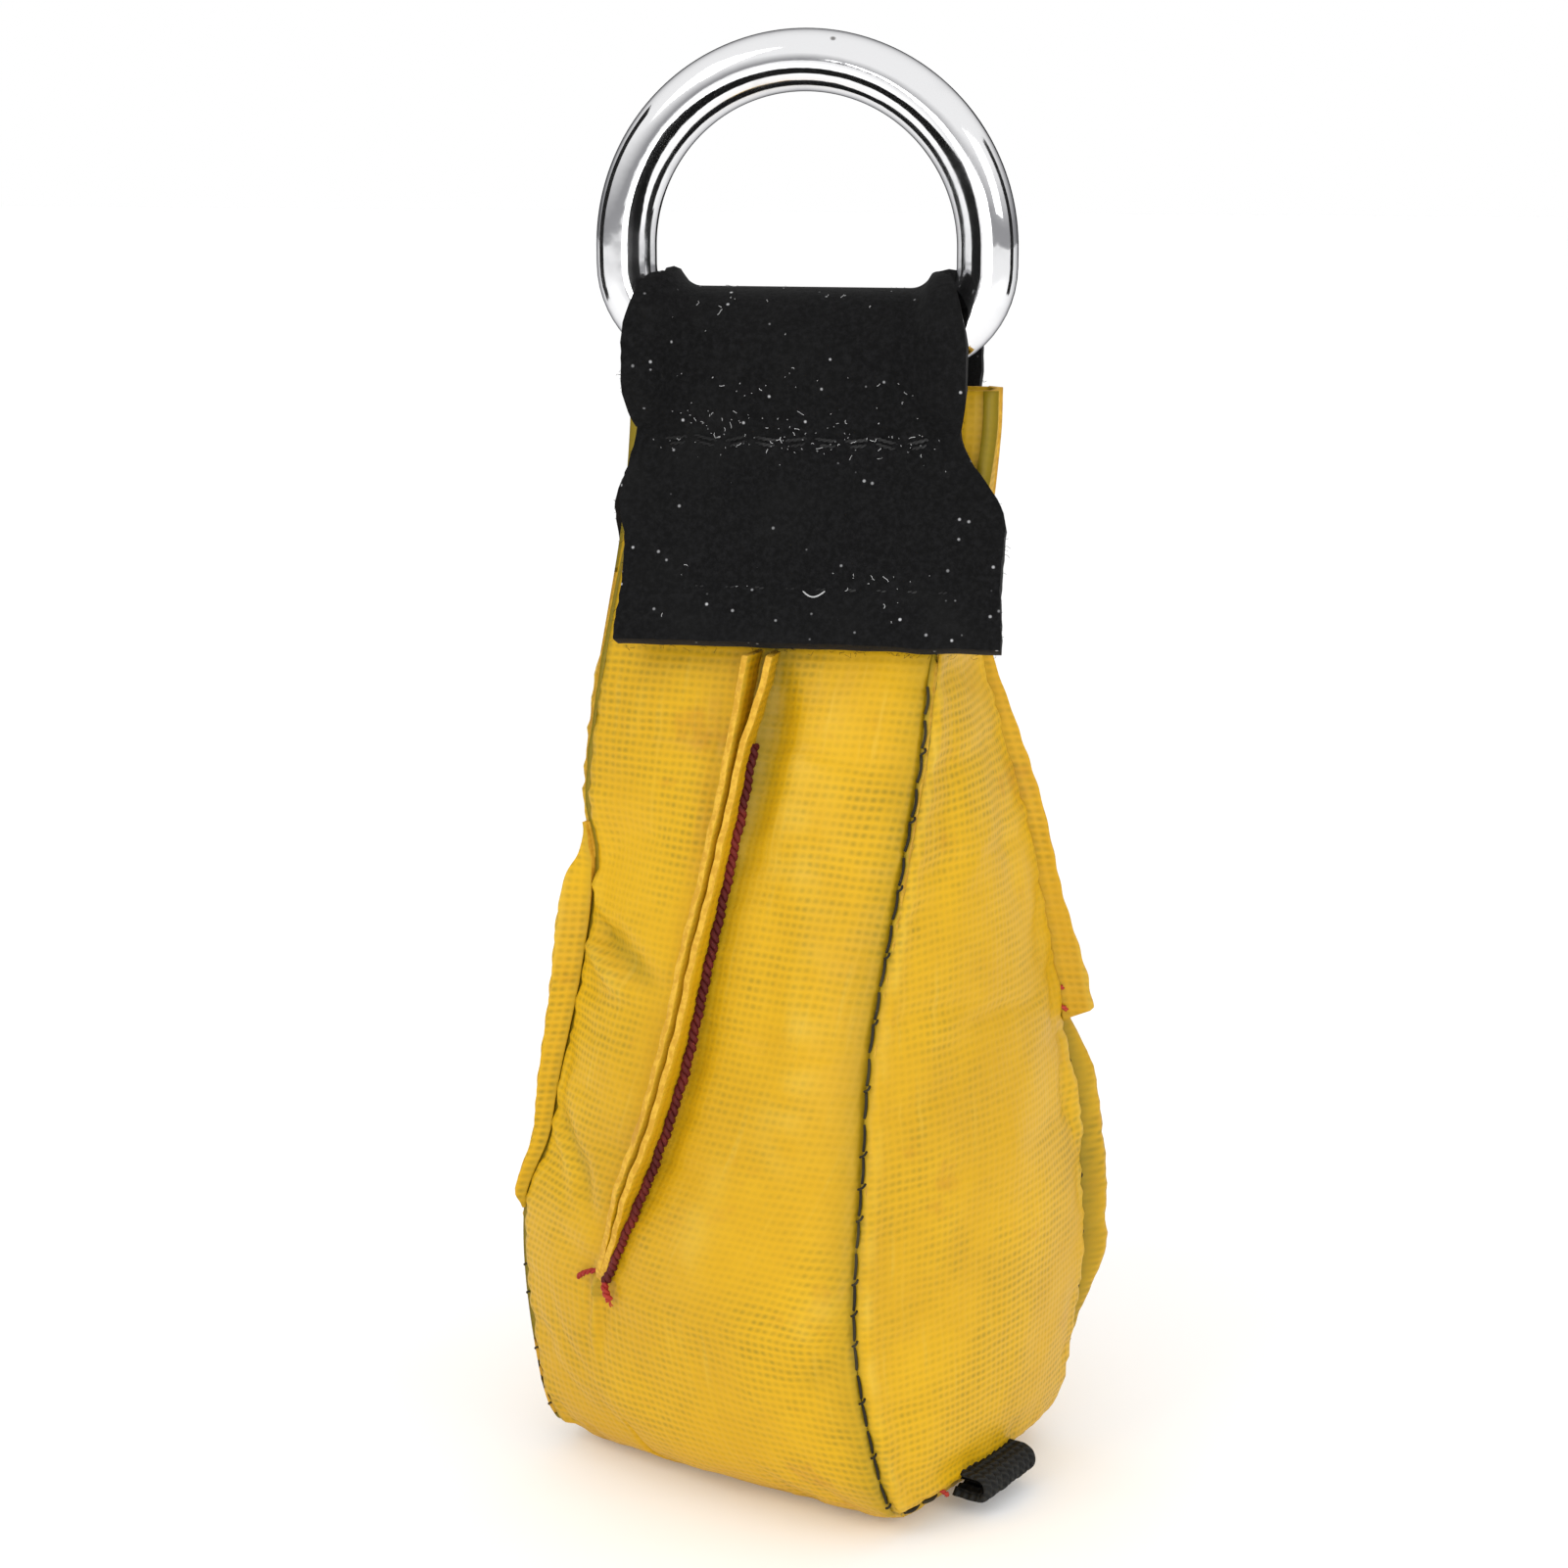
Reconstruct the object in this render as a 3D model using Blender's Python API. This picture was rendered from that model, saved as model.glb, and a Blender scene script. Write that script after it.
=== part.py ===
"""Throw weight: a shot-filled bag of coated cloth, hung from a D-ring by a webbing loop.

The bag stands on its flat base at z = 0, +Z up. The ring's plane is XZ and the front faces -Y.
One strip of cloth is the front, the base and the back, and two gussets close its sides. Four darts,
pinched outwards and sewn with red thread, draw the body in to the flat neck that the webbing covers.
"""

import bmesh
import bpy
from math import cos, pi, sin, sqrt, radians
from mathutils import Vector

MM = 0.001  # all the sizes below are in millimetres

WIRE = 6.0  # diameter of the ring's wire
EYE_WIDTH = 30.0  # clear width inside the ring
CORNER_BEND = 7.6  # bend radius of the ring's two lower corners, at the wire's centre
ARM = 1.7  # straight length between each corner and the bow
BAR_HEIGHT = 116.6  # the bar's axis, which the ring swings about, above the base

CLOTH = 0.7  # thickness of the coated cloth
GAP = 0.3  # clearance between pieces that touch
LINER = 0.4  # thickness of the inner pouch
SLACK = 1.3  # room between cloth and pouch, where the cloth's creases dip in
MOUTH_HEIGHT = 112.4  # the flat neck's cut edge
LINER_TOP = 84.0
SHOT_TOP = 60.0
BASE_BEND = 5.0  # radius of the smooth fold between front, base and back
SEAM_LIFT = 2.5  # height of the gussets' bottom seams
SEAM_CURL = 4.0  # width of the strip beside them that curls up to meet them

WEB = 2.2  # thickness of the webbing
WEB_WIDTH = 38.0
WEB_HEM = 87.8  # height of its two sewn ends
WEB_WAIST = 108.6  # height where its legs come closest
WEB_WAIST_WIDTH = 31.6
WEB_TUNNEL_WIDTH = 28.6  # where it turns over the bar, between the ring's corners
WEB_DRIFT = 2.1  # how far its front hem hangs to the right of the bar, and its back hem to the left
UPPER_STITCHES = 107.6
LOWER_STITCHES = 93.6
STITCH_SPAN = 27.0

FIN_HEIGHT = 3.2  # how far the front and back darts stand out
SIDE_FIN_HEIGHT = 1.8
LEFT_DART_TOP = 68.0  # the left dart's cloth lies flat above this
FIN_THICKNESS = 1.7  # its two layers of cloth
THREAD = 0.5  # diameter of the sewing thread

TAB_WIDTH = 10.0  # the ribbed webbing tab in the right gusset's bottom seam
TAB_REACH = 3.8
TAB_THICKNESS = 2.8

# Height, half width, half depth, crown of front and back, crown of the sides, turn in degrees, shift in x
SECTIONS = (
    (0.0, 21.0, 15.4, 0.8, 0.8, -22.0, 0.0),
    (8.0, 22.0, 17.8, 2.4, 2.0, -26.0, 0.0),
    (23.0, 22.4, 19.6, 3.6, 3.0, -29.5, 0.0),
    (38.0, 21.3, 18.8, 3.8, 3.2, -28.0, 0.2),
    (52.0, 19.6, 16.9, 3.2, 2.8, -26.0, 0.5),
    (68.0, 18.7, 13.4, 2.2, 2.0, -20.0, 0.0),
    (78.0, 18.1, 10.8, 1.6, 1.3, -13.0, -1.0),
    (88.0, 17.2, 8.5, 1.0, 0.8, -6.0, -1.3),
    (100.0, 17.9, 4.1, 0.5, 0.3, -2.0, 0.3),
    (108.0, 18.1, 2.5, 0.2, 0.1, 0.0, 1.0),
    (MOUTH_HEIGHT, 18.1, 2.3, 0.1, 0.1, 0.0, 1.1),
)
FRONT, RIGHT, BACK, LEFT = range(4)
CORNER_SIGNS = ((-1, -1), (1, -1), (1, 1), (-1, 1))  # front left, front right, back right, back left


def section(z):
    """The body's section at height z, with a smooth curve through the rows of SECTIONS."""
    last = len(SECTIONS) - 2
    row = max(i for i in range(last + 1) if i == 0 or SECTIONS[i][0] <= z)
    before, low, high, after = (SECTIONS[min(max(row + k, 0), last + 1)] for k in (-1, 0, 1, 2))
    span = high[0] - low[0]
    t = min(max((z - low[0]) / span, 0.0), 1.0)
    values = []
    for p0, p1, p2, p3 in zip(before[1:], low[1:], high[1:], after[1:]):
        slope1 = (p2 - p0) / (high[0] - before[0]) * span
        slope2 = (p3 - p1) / (after[0] - low[0]) * span
        bend = p1 * (2 * t**3 - 3 * t**2 + 1) + p2 * (3 * t**2 - 2 * t**3)
        values.append(bend + slope1 * (t**3 - 2 * t**2 + t) + slope2 * (t**3 - t**2))
    return values


def fold_inset(z):
    """How far the front and back have turned under at height z, in the fold at the base."""
    below = max(BASE_BEND - z, 0.0)
    return BASE_BEND - sqrt(BASE_BEND**2 - below**2)


def corner(index, z, inset=0.0):
    """A vertical edge of the body, before the section is turned."""
    half_width, half_depth = section(z)[:2]
    sign_x, sign_y = CORNER_SIGNS[index % 4]
    return Vector((sign_x * (half_width - inset), sign_y * (half_depth - inset - fold_inset(z))))


def turned(flat, z, height=None):
    """A point of the section at z, turned and shifted with the body, in world axes."""
    turn, shift = section(z)[4:6]
    c, s = cos(radians(turn)), sin(radians(turn))
    return Vector((c * flat.x - s * flat.y + shift, s * flat.x + c * flat.y, z if height is None else height))


def flat_point(side, s, z, inset=0.0):
    """A point at s from 0 to 1 along one side, anticlockwise seen from above, crowned outwards."""
    start, end = corner(side, z, inset), corner(side + 1, z, inset)
    crown = section(z)[2 + side % 2]
    outward = Vector((end.y - start.y, start.x - end.x)).normalized()
    return start.lerp(end, s) + outward * crown * 4 * s * (1 - s)


def surface(side, s, z):
    return turned(flat_point(side, s, z), z)


def outward(side, s, z):
    """The body's outward direction at a point, kept level."""
    ahead, behind = surface(side, min(s + 0.02, 1.0), z), surface(side, max(s - 0.02, 0.0), z)
    along = ahead - behind
    return Vector((along.y, -along.x, 0)).normalized()


def material(name, colour, roughness, metallic=0.0):
    made = bpy.data.materials.new(name)
    made.use_nodes = True
    shader = made.node_tree.nodes["Principled BSDF"]
    shader.inputs["Base Color"].default_value = (*colour, 1)
    shader.inputs["Roughness"].default_value = roughness
    shader.inputs["Metallic"].default_value = metallic
    return made


def add(name, data, finish):
    made = bpy.data.objects.new(name, data)
    data.materials.append(finish)
    bpy.context.scene.collection.objects.link(made)
    return made


def sheet(name, columns, rows, place, thickness, offset, finish):
    """A flat grid laid over place(u, v), u and v from 0 to 1, and given its thickness."""
    shape = bmesh.new()
    bmesh.ops.create_grid(shape, x_segments=columns, y_segments=rows, size=0.5)
    for vert in shape.verts:
        vert.co = place(vert.co.x + 0.5, vert.co.y + 0.5) * MM
    for face in shape.faces:
        face.smooth = True
    mesh = bpy.data.meshes.new(name)
    shape.to_mesh(mesh)
    shape.free()
    made = add(name, mesh, finish)
    solid = made.modifiers.new("Thickness", "SOLIDIFY")
    solid.thickness = thickness * MM
    solid.offset = offset
    solid.use_even_offset = True
    return made


def tube(name, points, diameter, finish, sides=0, closed=False):
    """A round wire or thread along points."""
    curve = bpy.data.curves.new(name, "CURVE")
    curve.dimensions = "3D"
    curve.bevel_depth = diameter / 2 * MM
    curve.bevel_resolution = sides
    curve.use_fill_caps = True
    spline = curve.splines.new("POLY")
    spline.points.add(len(points) - 1)
    for target, point in zip(spline.points, points):
        target.co = (*(point * MM), 1)
    spline.use_cyclic_u = closed
    return add(name, curve, finish)


def steps(low, high, count):
    return [low + (high - low) * i / (count - 1) for i in range(count)]


def arc(centre_x, centre_z, radius, start, end, count):
    """Points of an arc in the ring's plane, without the last one; angles in degrees."""
    angles = [radians(a) for a in steps(start, end, count + 1)[:-1]]
    return [Vector((centre_x + radius * cos(a), 0, centre_z + radius * sin(a))) for a in angles]


def make_ring(finish):
    """A closed D of round wire, with its origin on the bar, where it swings."""
    bow = (EYE_WIDTH + WIRE) / 2
    bar = bow - CORNER_BEND
    path = arc(bar, CORNER_BEND, CORNER_BEND, -90, 0, 6) + [Vector((bow, 0, CORNER_BEND))]
    path += arc(0, CORNER_BEND + ARM, bow, 0, 180, 24)
    path += [Vector((-bow, 0, CORNER_BEND + ARM))] + arc(-bar, CORNER_BEND, CORNER_BEND, 180, 270, 6)
    path += [Vector((-bar, 0, 0))]
    ring = tube("d_ring", path, WIRE, finish, sides=4, closed=True)
    ring.location.z = BAR_HEIGHT * MM


def make_main_panel(finish):
    """Front, base and back in one strip, from the back's mouth down, under, and up to the front's."""
    bend, walls, base = 4, 15, 6
    heights = steps(MOUTH_HEIGHT, BASE_BEND, walls + 1)
    heights += [BASE_BEND * (1 - sin(radians(a))) for a in steps(0, 90, bend + 1)[1:]]
    half = len(heights) - 1
    rows = 2 * half + base

    def place(u, v):
        row = round(v * rows)
        if half < row < half + base:
            back, front = surface(BACK, 1 - u, 0), surface(FRONT, u, 0)
            across = (row - half) / base
            point = back.lerp(front, across)
            end = section(0)[3] * 4 * across * (1 - across)
            point += (surface(FRONT, 1, 0) - surface(FRONT, 0, 0)).normalized() * end * (2 * u - 1)
        else:
            back_side = row <= half
            z = heights[row] if back_side else heights[rows - row]
            point = surface(BACK, 1 - u, z) if back_side else surface(FRONT, u, z)
        edge = min(u, 1 - u) * 2 * section(0)[0]
        curl = SEAM_LIFT * max(1 - edge / SEAM_CURL, 0) ** 2
        point.z = max(point.z, curl)
        return point

    sheet("main_panel", 14, rows, place, CLOTH, -1, finish)


def make_gusset(name, side, finish):
    """A side panel, trimmed to leave the seams clear."""

    def place(u, v):
        low = SEAM_LIFT + CLOTH + GAP
        z = low + (MOUTH_HEIGHT - low) * v
        trim = (CLOTH + GAP + 0.1) / (2 * section(z)[1])
        return surface(side, trim + (1 - 2 * trim) * u, z)

    return sheet(name, 8, 18, place, CLOTH, -1, finish)


def dart_place(z):
    """Where the front and back darts cross the panel: down its middle, then off to one side."""
    low = max(50 - z, 0) / 29
    return 0.5 - 0.2 * low**1.7


def make_dart(name, side, end, height, place_on, cloth, thread, top=WEB_HEM - 1, sewn=1):
    """A pinched fold standing out of the body between the heights end and top, and its sewing beside it."""

    def foot(z):
        s = place_on(z)
        away = outward(side, s, z)
        if s in (0, 1):
            away = (surface(side, s, z) - turned(Vector((0, 0)), z)).normalized()
        return surface(side, s, z), away

    def fin(u, v):
        z = end + (top - end) * v
        point, away = foot(z)
        taper = min(0.25 + 0.75 * (z - end) / 14, 1)
        flattened = 1 if height == FIN_HEIGHT else 0.4 + 0.6 * smooth((top - z) / 18)
        return point + away * (GAP + 0.05 + u * height * taper * flattened)

    def stitch(z):
        point, away = foot(z)
        beside = Vector((-away.y, away.x, 0)) * sewn
        return point + away * 0.8 + beside * (FIN_THICKNESS / 2 + GAP + THREAD / 2)

    sheet(name, 1, 14, fin, FIN_THICKNESS, 0, cloth)
    tube(name + "_thread", [stitch(z) for z in steps(end + 1.5, top - 0.5, 16)], THREAD, thread)


def make_corner_thread(name, index, low, high, finish):
    """The thread that shows in an inside seam, along a vertical edge of the body."""
    points = []
    for z in steps(low, high, 18):
        edge = turned(corner(index, z), z)
        away = (edge - turned(Vector((0, 0)), z)).normalized()
        points.append(edge + away * (GAP + THREAD / 2 + 0.05))
    tube(name, points, THREAD, finish)


def make_bottom_thread(name, side, start, end, finish):
    """The thread in a gusset's bottom seam."""
    points = []
    for s in steps(start, end, 10):
        edge = surface(side, s, SEAM_LIFT)
        points.append(edge + outward(side, s, SEAM_LIFT) * (GAP + THREAD / 2 + 0.1) + Vector((0, 0, 0.5)))
    tube(name, points, THREAD, finish)


def make_tab(finish):
    """A folded scrap of webbing, sewn into the right gusset's bottom seam, with a round nose."""
    half, nose = TAB_WIDTH / 2, TAB_THICKNESS / 2
    middle = surface(RIGHT, 0.46, SEAM_LIFT)
    away = outward(RIGHT, 0.46, SEAM_LIFT)
    along = Vector((-away.y, away.x, 0))
    root = middle + away * (GAP + 0.4) + Vector((0, 0, 0.3))
    outline = [root + Vector((0, 0, nose)), root - Vector((0, 0, nose))]
    for angle in steps(-90, 90, 9):
        a = radians(angle)
        outline.append(root + away * (TAB_REACH - nose + nose * cos(a)) + Vector((0, 0, nose * sin(a))))
    shape = bmesh.new()
    face = shape.faces.new([shape.verts.new((point - along * half) * MM) for point in outline])
    moved = bmesh.ops.extrude_face_region(shape, geom=[face])["geom"]
    ends = [item for item in moved if isinstance(item, bmesh.types.BMVert)]
    bmesh.ops.translate(shape, verts=ends, vec=along * TAB_WIDTH * MM)
    bmesh.ops.recalc_face_normals(shape, faces=shape.faces)
    mesh = bpy.data.meshes.new("bottom_tab")
    shape.to_mesh(mesh)
    shape.free()
    add("bottom_tab", mesh, finish)


def neck_reach(side, z):
    """How far the body stands out along y at height z, on the front or the back."""
    return max(abs(surface(side, s, z).y) for s in steps(0, 1, 21))


def smooth(t):
    t = min(max(t, 0), 1)
    return t * t * (3 - 2 * t)


def tunnel(x):
    """Radius of the webbing's inside around the bar, wider where the ring's corners bend up."""
    inner = CORNER_BEND - WIRE / 2
    bend_starts = (EYE_WIDTH + WIRE) / 2 - CORNER_BEND
    past = min(max(abs(x) - bend_starts, 0), WEB_TUNNEL_WIDTH / 2 - bend_starts)
    return WIRE / 2 + GAP + inner - sqrt(inner**2 - past**2)


def web_half_width(z):
    flare = smooth((WEB_WAIST - z) / (WEB_WAIST - LOWER_STITCHES))
    width = WEB_WAIST_WIDTH + (WEB_WIDTH - WEB_WAIST_WIDTH) * flare
    return (width + (WEB_TUNNEL_WIDTH - width) * smooth((z - WEB_WAIST) / 3)) / 2


def web_drift(way, z):
    return -way * WEB_DRIFT * smooth((WEB_WAIST - z) / 12)


def leg_reach(side, x, z):
    """The inside of one leg of the webbing, as a distance from the plane y = 0."""
    on_neck = neck_reach(side, min(z, MOUTH_HEIGHT)) + GAP
    return on_neck + (tunnel(x) - on_neck) * smooth((z - WEB_WAIST) / (BAR_HEIGHT - WIRE / 2 - WEB_WAIST))


def make_web(finish):
    """The loop: up the back of the neck, over the bar and down the front."""
    leg = steps(WEB_HEM, BAR_HEIGHT - WIRE / 2, 12) + [BAR_HEIGHT - 1.2]
    turn = 10
    rows = 2 * len(leg) + turn

    def place(u, v):
        row = round(v * rows)
        if row < len(leg):
            z, side, way = leg[row], FRONT, -1
        elif row > rows - len(leg):
            z, side, way = leg[rows - row], BACK, 1
        else:
            x = (2 * u - 1) * WEB_TUNNEL_WIDTH / 2
            angle = pi * (row - len(leg)) / turn
            return Vector((x, -tunnel(x) * cos(angle), BAR_HEIGHT + tunnel(x) * sin(angle)))
        x = (2 * u - 1) * web_half_width(z) + web_drift(way, z)
        return Vector((x, way * leg_reach(side, x, z), z))

    sheet("strap_web", 12, rows, place, WEB, 1, finish)


def make_web_stitches(name, side, z, finish):
    """One row of sewing across a leg of the webbing."""
    way = -1 if side == FRONT else 1
    points = []
    for x in steps(-STITCH_SPAN / 2, STITCH_SPAN / 2, 12):
        out = leg_reach(side, x, z) + WEB * 1.08 + GAP + THREAD / 2
        points.append(Vector((x + web_drift(way, z), way * out, z)))
    tube(name, points, THREAD, finish)


def pouch(name, inset, low, top, finish, thickness=0.0):
    """The body's inside at a distance inset from its surface: an open pouch, or a full one."""
    around, up = 36, 12
    shape = bmesh.new()
    bmesh.ops.create_grid(shape, x_segments=around, y_segments=up, size=0.5)
    for vert in shape.verts:
        turn = (vert.co.x + 0.5) * 4 % 4
        z = low + (top - low) * (vert.co.y + 0.5)
        vert.co = turned(flat_point(int(turn), turn % 1, z, inset), z) * MM
    bmesh.ops.remove_doubles(shape, verts=shape.verts, dist=0.01 * MM)
    for height in (low,) if thickness else (low, top):
        rim = [e for e in shape.edges if e.is_boundary and abs(e.verts[0].co.z - height * MM) < 0.01 * MM]
        bmesh.ops.contextual_create(shape, geom=rim)
    bmesh.ops.recalc_face_normals(shape, faces=shape.faces)
    mesh = bpy.data.meshes.new(name)
    shape.to_mesh(mesh)
    shape.free()
    made = add(name, mesh, finish)
    if thickness:
        wall = made.modifiers.new("Thickness", "SOLIDIFY")
        wall.thickness = thickness * MM
        wall.offset = -1
        wall.use_even_offset = True


def clear_scene():
    for old in list(bpy.data.objects):
        bpy.data.objects.remove(old)


def main():
    clear_scene()
    cloth = material("yellow_cloth", (0.79, 0.43, 0.03), 0.38)
    webbing = material("black_webbing", (0.012, 0.012, 0.013), 0.92)
    steel = material("ring_steel", (0.82, 0.82, 0.83), 0.12, 1.0)
    red = material("red_thread", (0.22, 0.015, 0.02), 0.7)
    dark = material("dark_thread", (0.03, 0.025, 0.012), 0.7)
    lining = material("liner_cloth", (0.75, 0.74, 0.70), 0.8)
    shot = material("metal_shot", (0.30, 0.30, 0.31), 0.5, 1.0)

    make_ring(steel)
    make_web(webbing)
    make_main_panel(cloth)
    make_gusset("right_gusset", RIGHT, cloth)
    make_gusset("left_gusset", LEFT, cloth)
    make_dart("front_dart", FRONT, 22, FIN_HEIGHT, dart_place, cloth, red)
    make_dart("back_dart", BACK, 22, FIN_HEIGHT, dart_place, cloth, red)
    make_dart("right_dart", BACK, 47, SIDE_FIN_HEIGHT, lambda z: 0, cloth, red)
    make_dart("left_dart", FRONT, 27, SIDE_FIN_HEIGHT, lambda z: 0, cloth, red, LEFT_DART_TOP, sewn=-1)
    make_corner_thread("front_right_thread", 1, 5, WEB_HEM - 1.5, dark)
    make_corner_thread("back_left_thread", 3, 5, WEB_HEM - 1.5, dark)
    make_corner_thread("back_right_thread", 2, 5, 45, dark)
    make_corner_thread("front_left_thread", 0, 5, 25, dark)
    make_bottom_thread("right_bottom_thread", RIGHT, 0.03, 0.24, dark)
    make_bottom_thread("left_bottom_thread", LEFT, 0.03, 0.97, dark)
    make_tab(webbing)
    for height, row in ((UPPER_STITCHES, "upper"), (LOWER_STITCHES, "lower")):
        make_web_stitches("front_%s_stitches" % row, FRONT, height, dark)
        make_web_stitches("back_%s_stitches" % row, BACK, height, dark)
    inside = CLOTH + SLACK
    pouch("inner_liner", inside, SEAM_LIFT + 1.8, LINER_TOP, lining, LINER)
    pouch("shot_fill", inside + LINER + GAP, SEAM_LIFT + 2.6, SHOT_TOP, shot)


main()
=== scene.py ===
from math import cos, pi, radians, sin, sqrt

import bpy
import numpy as np
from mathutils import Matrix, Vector, noise


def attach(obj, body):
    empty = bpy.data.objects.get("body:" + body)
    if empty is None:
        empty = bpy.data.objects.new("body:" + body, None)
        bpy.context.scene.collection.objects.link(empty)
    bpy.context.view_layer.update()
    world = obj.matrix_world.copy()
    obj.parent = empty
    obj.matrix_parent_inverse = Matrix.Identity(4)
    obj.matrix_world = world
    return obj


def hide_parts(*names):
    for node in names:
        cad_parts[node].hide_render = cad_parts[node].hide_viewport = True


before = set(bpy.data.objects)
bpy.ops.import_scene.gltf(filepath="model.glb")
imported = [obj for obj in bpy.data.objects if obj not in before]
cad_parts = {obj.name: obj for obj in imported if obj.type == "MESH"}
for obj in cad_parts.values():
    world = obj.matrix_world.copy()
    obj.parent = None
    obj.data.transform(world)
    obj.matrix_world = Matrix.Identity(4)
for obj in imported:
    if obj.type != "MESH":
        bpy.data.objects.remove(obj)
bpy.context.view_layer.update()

mm = 0.001  # shapes are worked out in millimetres and made in metres


def pickOnly(obj):
    if bpy.context.mode != "OBJECT":
        bpy.ops.object.mode_set(mode="OBJECT")
    bpy.ops.object.select_all(action="DESELECT")
    obj.select_set(True)
    bpy.context.view_layer.objects.active = obj


def finishWith(obj, kind, **settings):
    pickOnly(obj)
    mod = obj.modifiers.new(kind.title(), kind)
    for name, value in settings.items():
        setattr(mod, name, value)
    bpy.ops.object.modifier_apply(modifier=mod.name)


def settle(obj):
    pickOnly(obj)
    bpy.ops.object.transform_apply(location=True, rotation=True, scale=True)


def fixNormals(obj):
    pickOnly(obj)
    bpy.ops.object.mode_set(mode="EDIT")
    bpy.ops.mesh.select_all(action="SELECT")
    bpy.ops.mesh.normals_make_consistent(inside=False)
    bpy.ops.object.mode_set(mode="OBJECT")


def addGrid(columns, rows):
    bpy.ops.object.select_all(action="DESELECT")
    bpy.ops.mesh.primitive_grid_add(x_subdivisions=columns, y_subdivisions=rows, size=1)
    return bpy.context.object


def layWeave(obj, weave):
    layer = obj.data.uv_layers[0]
    layer.name = "weave"
    for loop in obj.data.loops:
        layer.data[loop.index].uv = weave[loop.vertex_index]


def joinAll(objs, name):
    pickOnly(objs[0])
    for obj in objs:
        obj.select_set(True)
    if len(objs) > 1:
        bpy.ops.object.join()
    objs[0].name = name
    return objs[0]


def place(obj, body, finish, nodes=()):
    if finish is not None:
        obj.data.materials.clear()
        obj.data.materials.append(finish)
    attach(obj, body)
    if nodes:
        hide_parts(*nodes)
    return obj


class Value:
    def __init__(self, finish, socket):
        self.finish, self.socket = finish, socket

    def maths(self, operation, first, second=None):
        values = {0: first} if second is None else {0: first, 1: second}
        return self.finish.node("ShaderNodeMath", {"operation": operation}, values)

    def __add__(self, other): return self.maths("ADD", self, other)
    def __radd__(self, other): return self.maths("ADD", other, self)
    def __sub__(self, other): return self.maths("SUBTRACT", self, other)
    def __rsub__(self, other): return self.maths("SUBTRACT", other, self)
    def __mul__(self, other): return self.maths("MULTIPLY", self, other)
    def __pow__(self, other): return self.maths("POWER", self, other)
    def cosine(self): return self.maths("COSINE", self)
    def sine(self): return self.maths("SINE", self)
    def above(self, other): return self.maths("GREATER_THAN", self, other)
    def between(self, low, high):
        return self.finish.node("ShaderNodeMapRange", {"interpolation_type": "SMOOTHSTEP"},
                                {"Value": self, "From Min": low, "From Max": high})


class Finish:
    def __init__(self, name, **constants):
        self.material = bpy.data.materials.new(name)
        self.material.use_nodes = True
        self.tree = self.material.node_tree
        self.shader = self.tree.nodes["Principled BSDF"]
        for socket, value in constants.items():
            self.shader.inputs[socket.replace("_", " ")].default_value = value

    def node(self, kind, settings=None, values=None, give=0):
        made = self.tree.nodes.new(kind)
        for name, value in (settings or {}).items():
            setattr(made, name, value)
        for name, value in (values or {}).items():
            self.put(made.inputs[name], value)
        return Value(self, made.outputs[give])

    def put(self, socket, value):
        if isinstance(value, Value):
            self.tree.links.new(value.socket, socket)
        elif socket.type == "RGBA":
            socket.default_value = (*value, 1)
        else:
            socket.default_value = value

    def feed(self, **links):
        for name, value in links.items():
            self.put(self.shader.inputs[name.replace("_", " ")], value)

    def place(self):
        return self.node("ShaderNodeTexCoord", give="Object")

    def parts(self, vector):
        split = self.node("ShaderNodeSeparateXYZ", values={"Vector": vector})
        return [Value(self, split.socket.node.outputs[i]) for i in range(3)]

    def noise(self, vector, scale, detail=3.0, roughness=0.55):
        return self.node("ShaderNodeTexNoise", values={
            "Vector": vector, "Scale": scale, "Detail": detail, "Roughness": roughness}, give="Fac")

    def mix(self, factor, first, second):
        made = self.node("ShaderNodeMix", {"data_type": "RGBA"})
        node = made.socket.node
        self.put(node.inputs[0], factor)
        self.put(node.inputs[6], first)
        self.put(node.inputs[7], second)
        return Value(self, node.outputs[2])

    def cells(self, vector, scale, randomness=1.0):
        near = self.node("ShaderNodeTexVoronoi", {"feature": "F1"}, {
            "Vector": vector, "Scale": scale, "Randomness": randomness})
        return near, self.parts(Value(self, near.socket.node.outputs["Color"]))

    def bump(self, height, distance, strength=1.0, under=None):
        values = {"Height": height, "Distance": distance, "Strength": strength}
        if under is not None:
            values["Normal"] = under
        return self.node("ShaderNodeBump", values=values)


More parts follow.
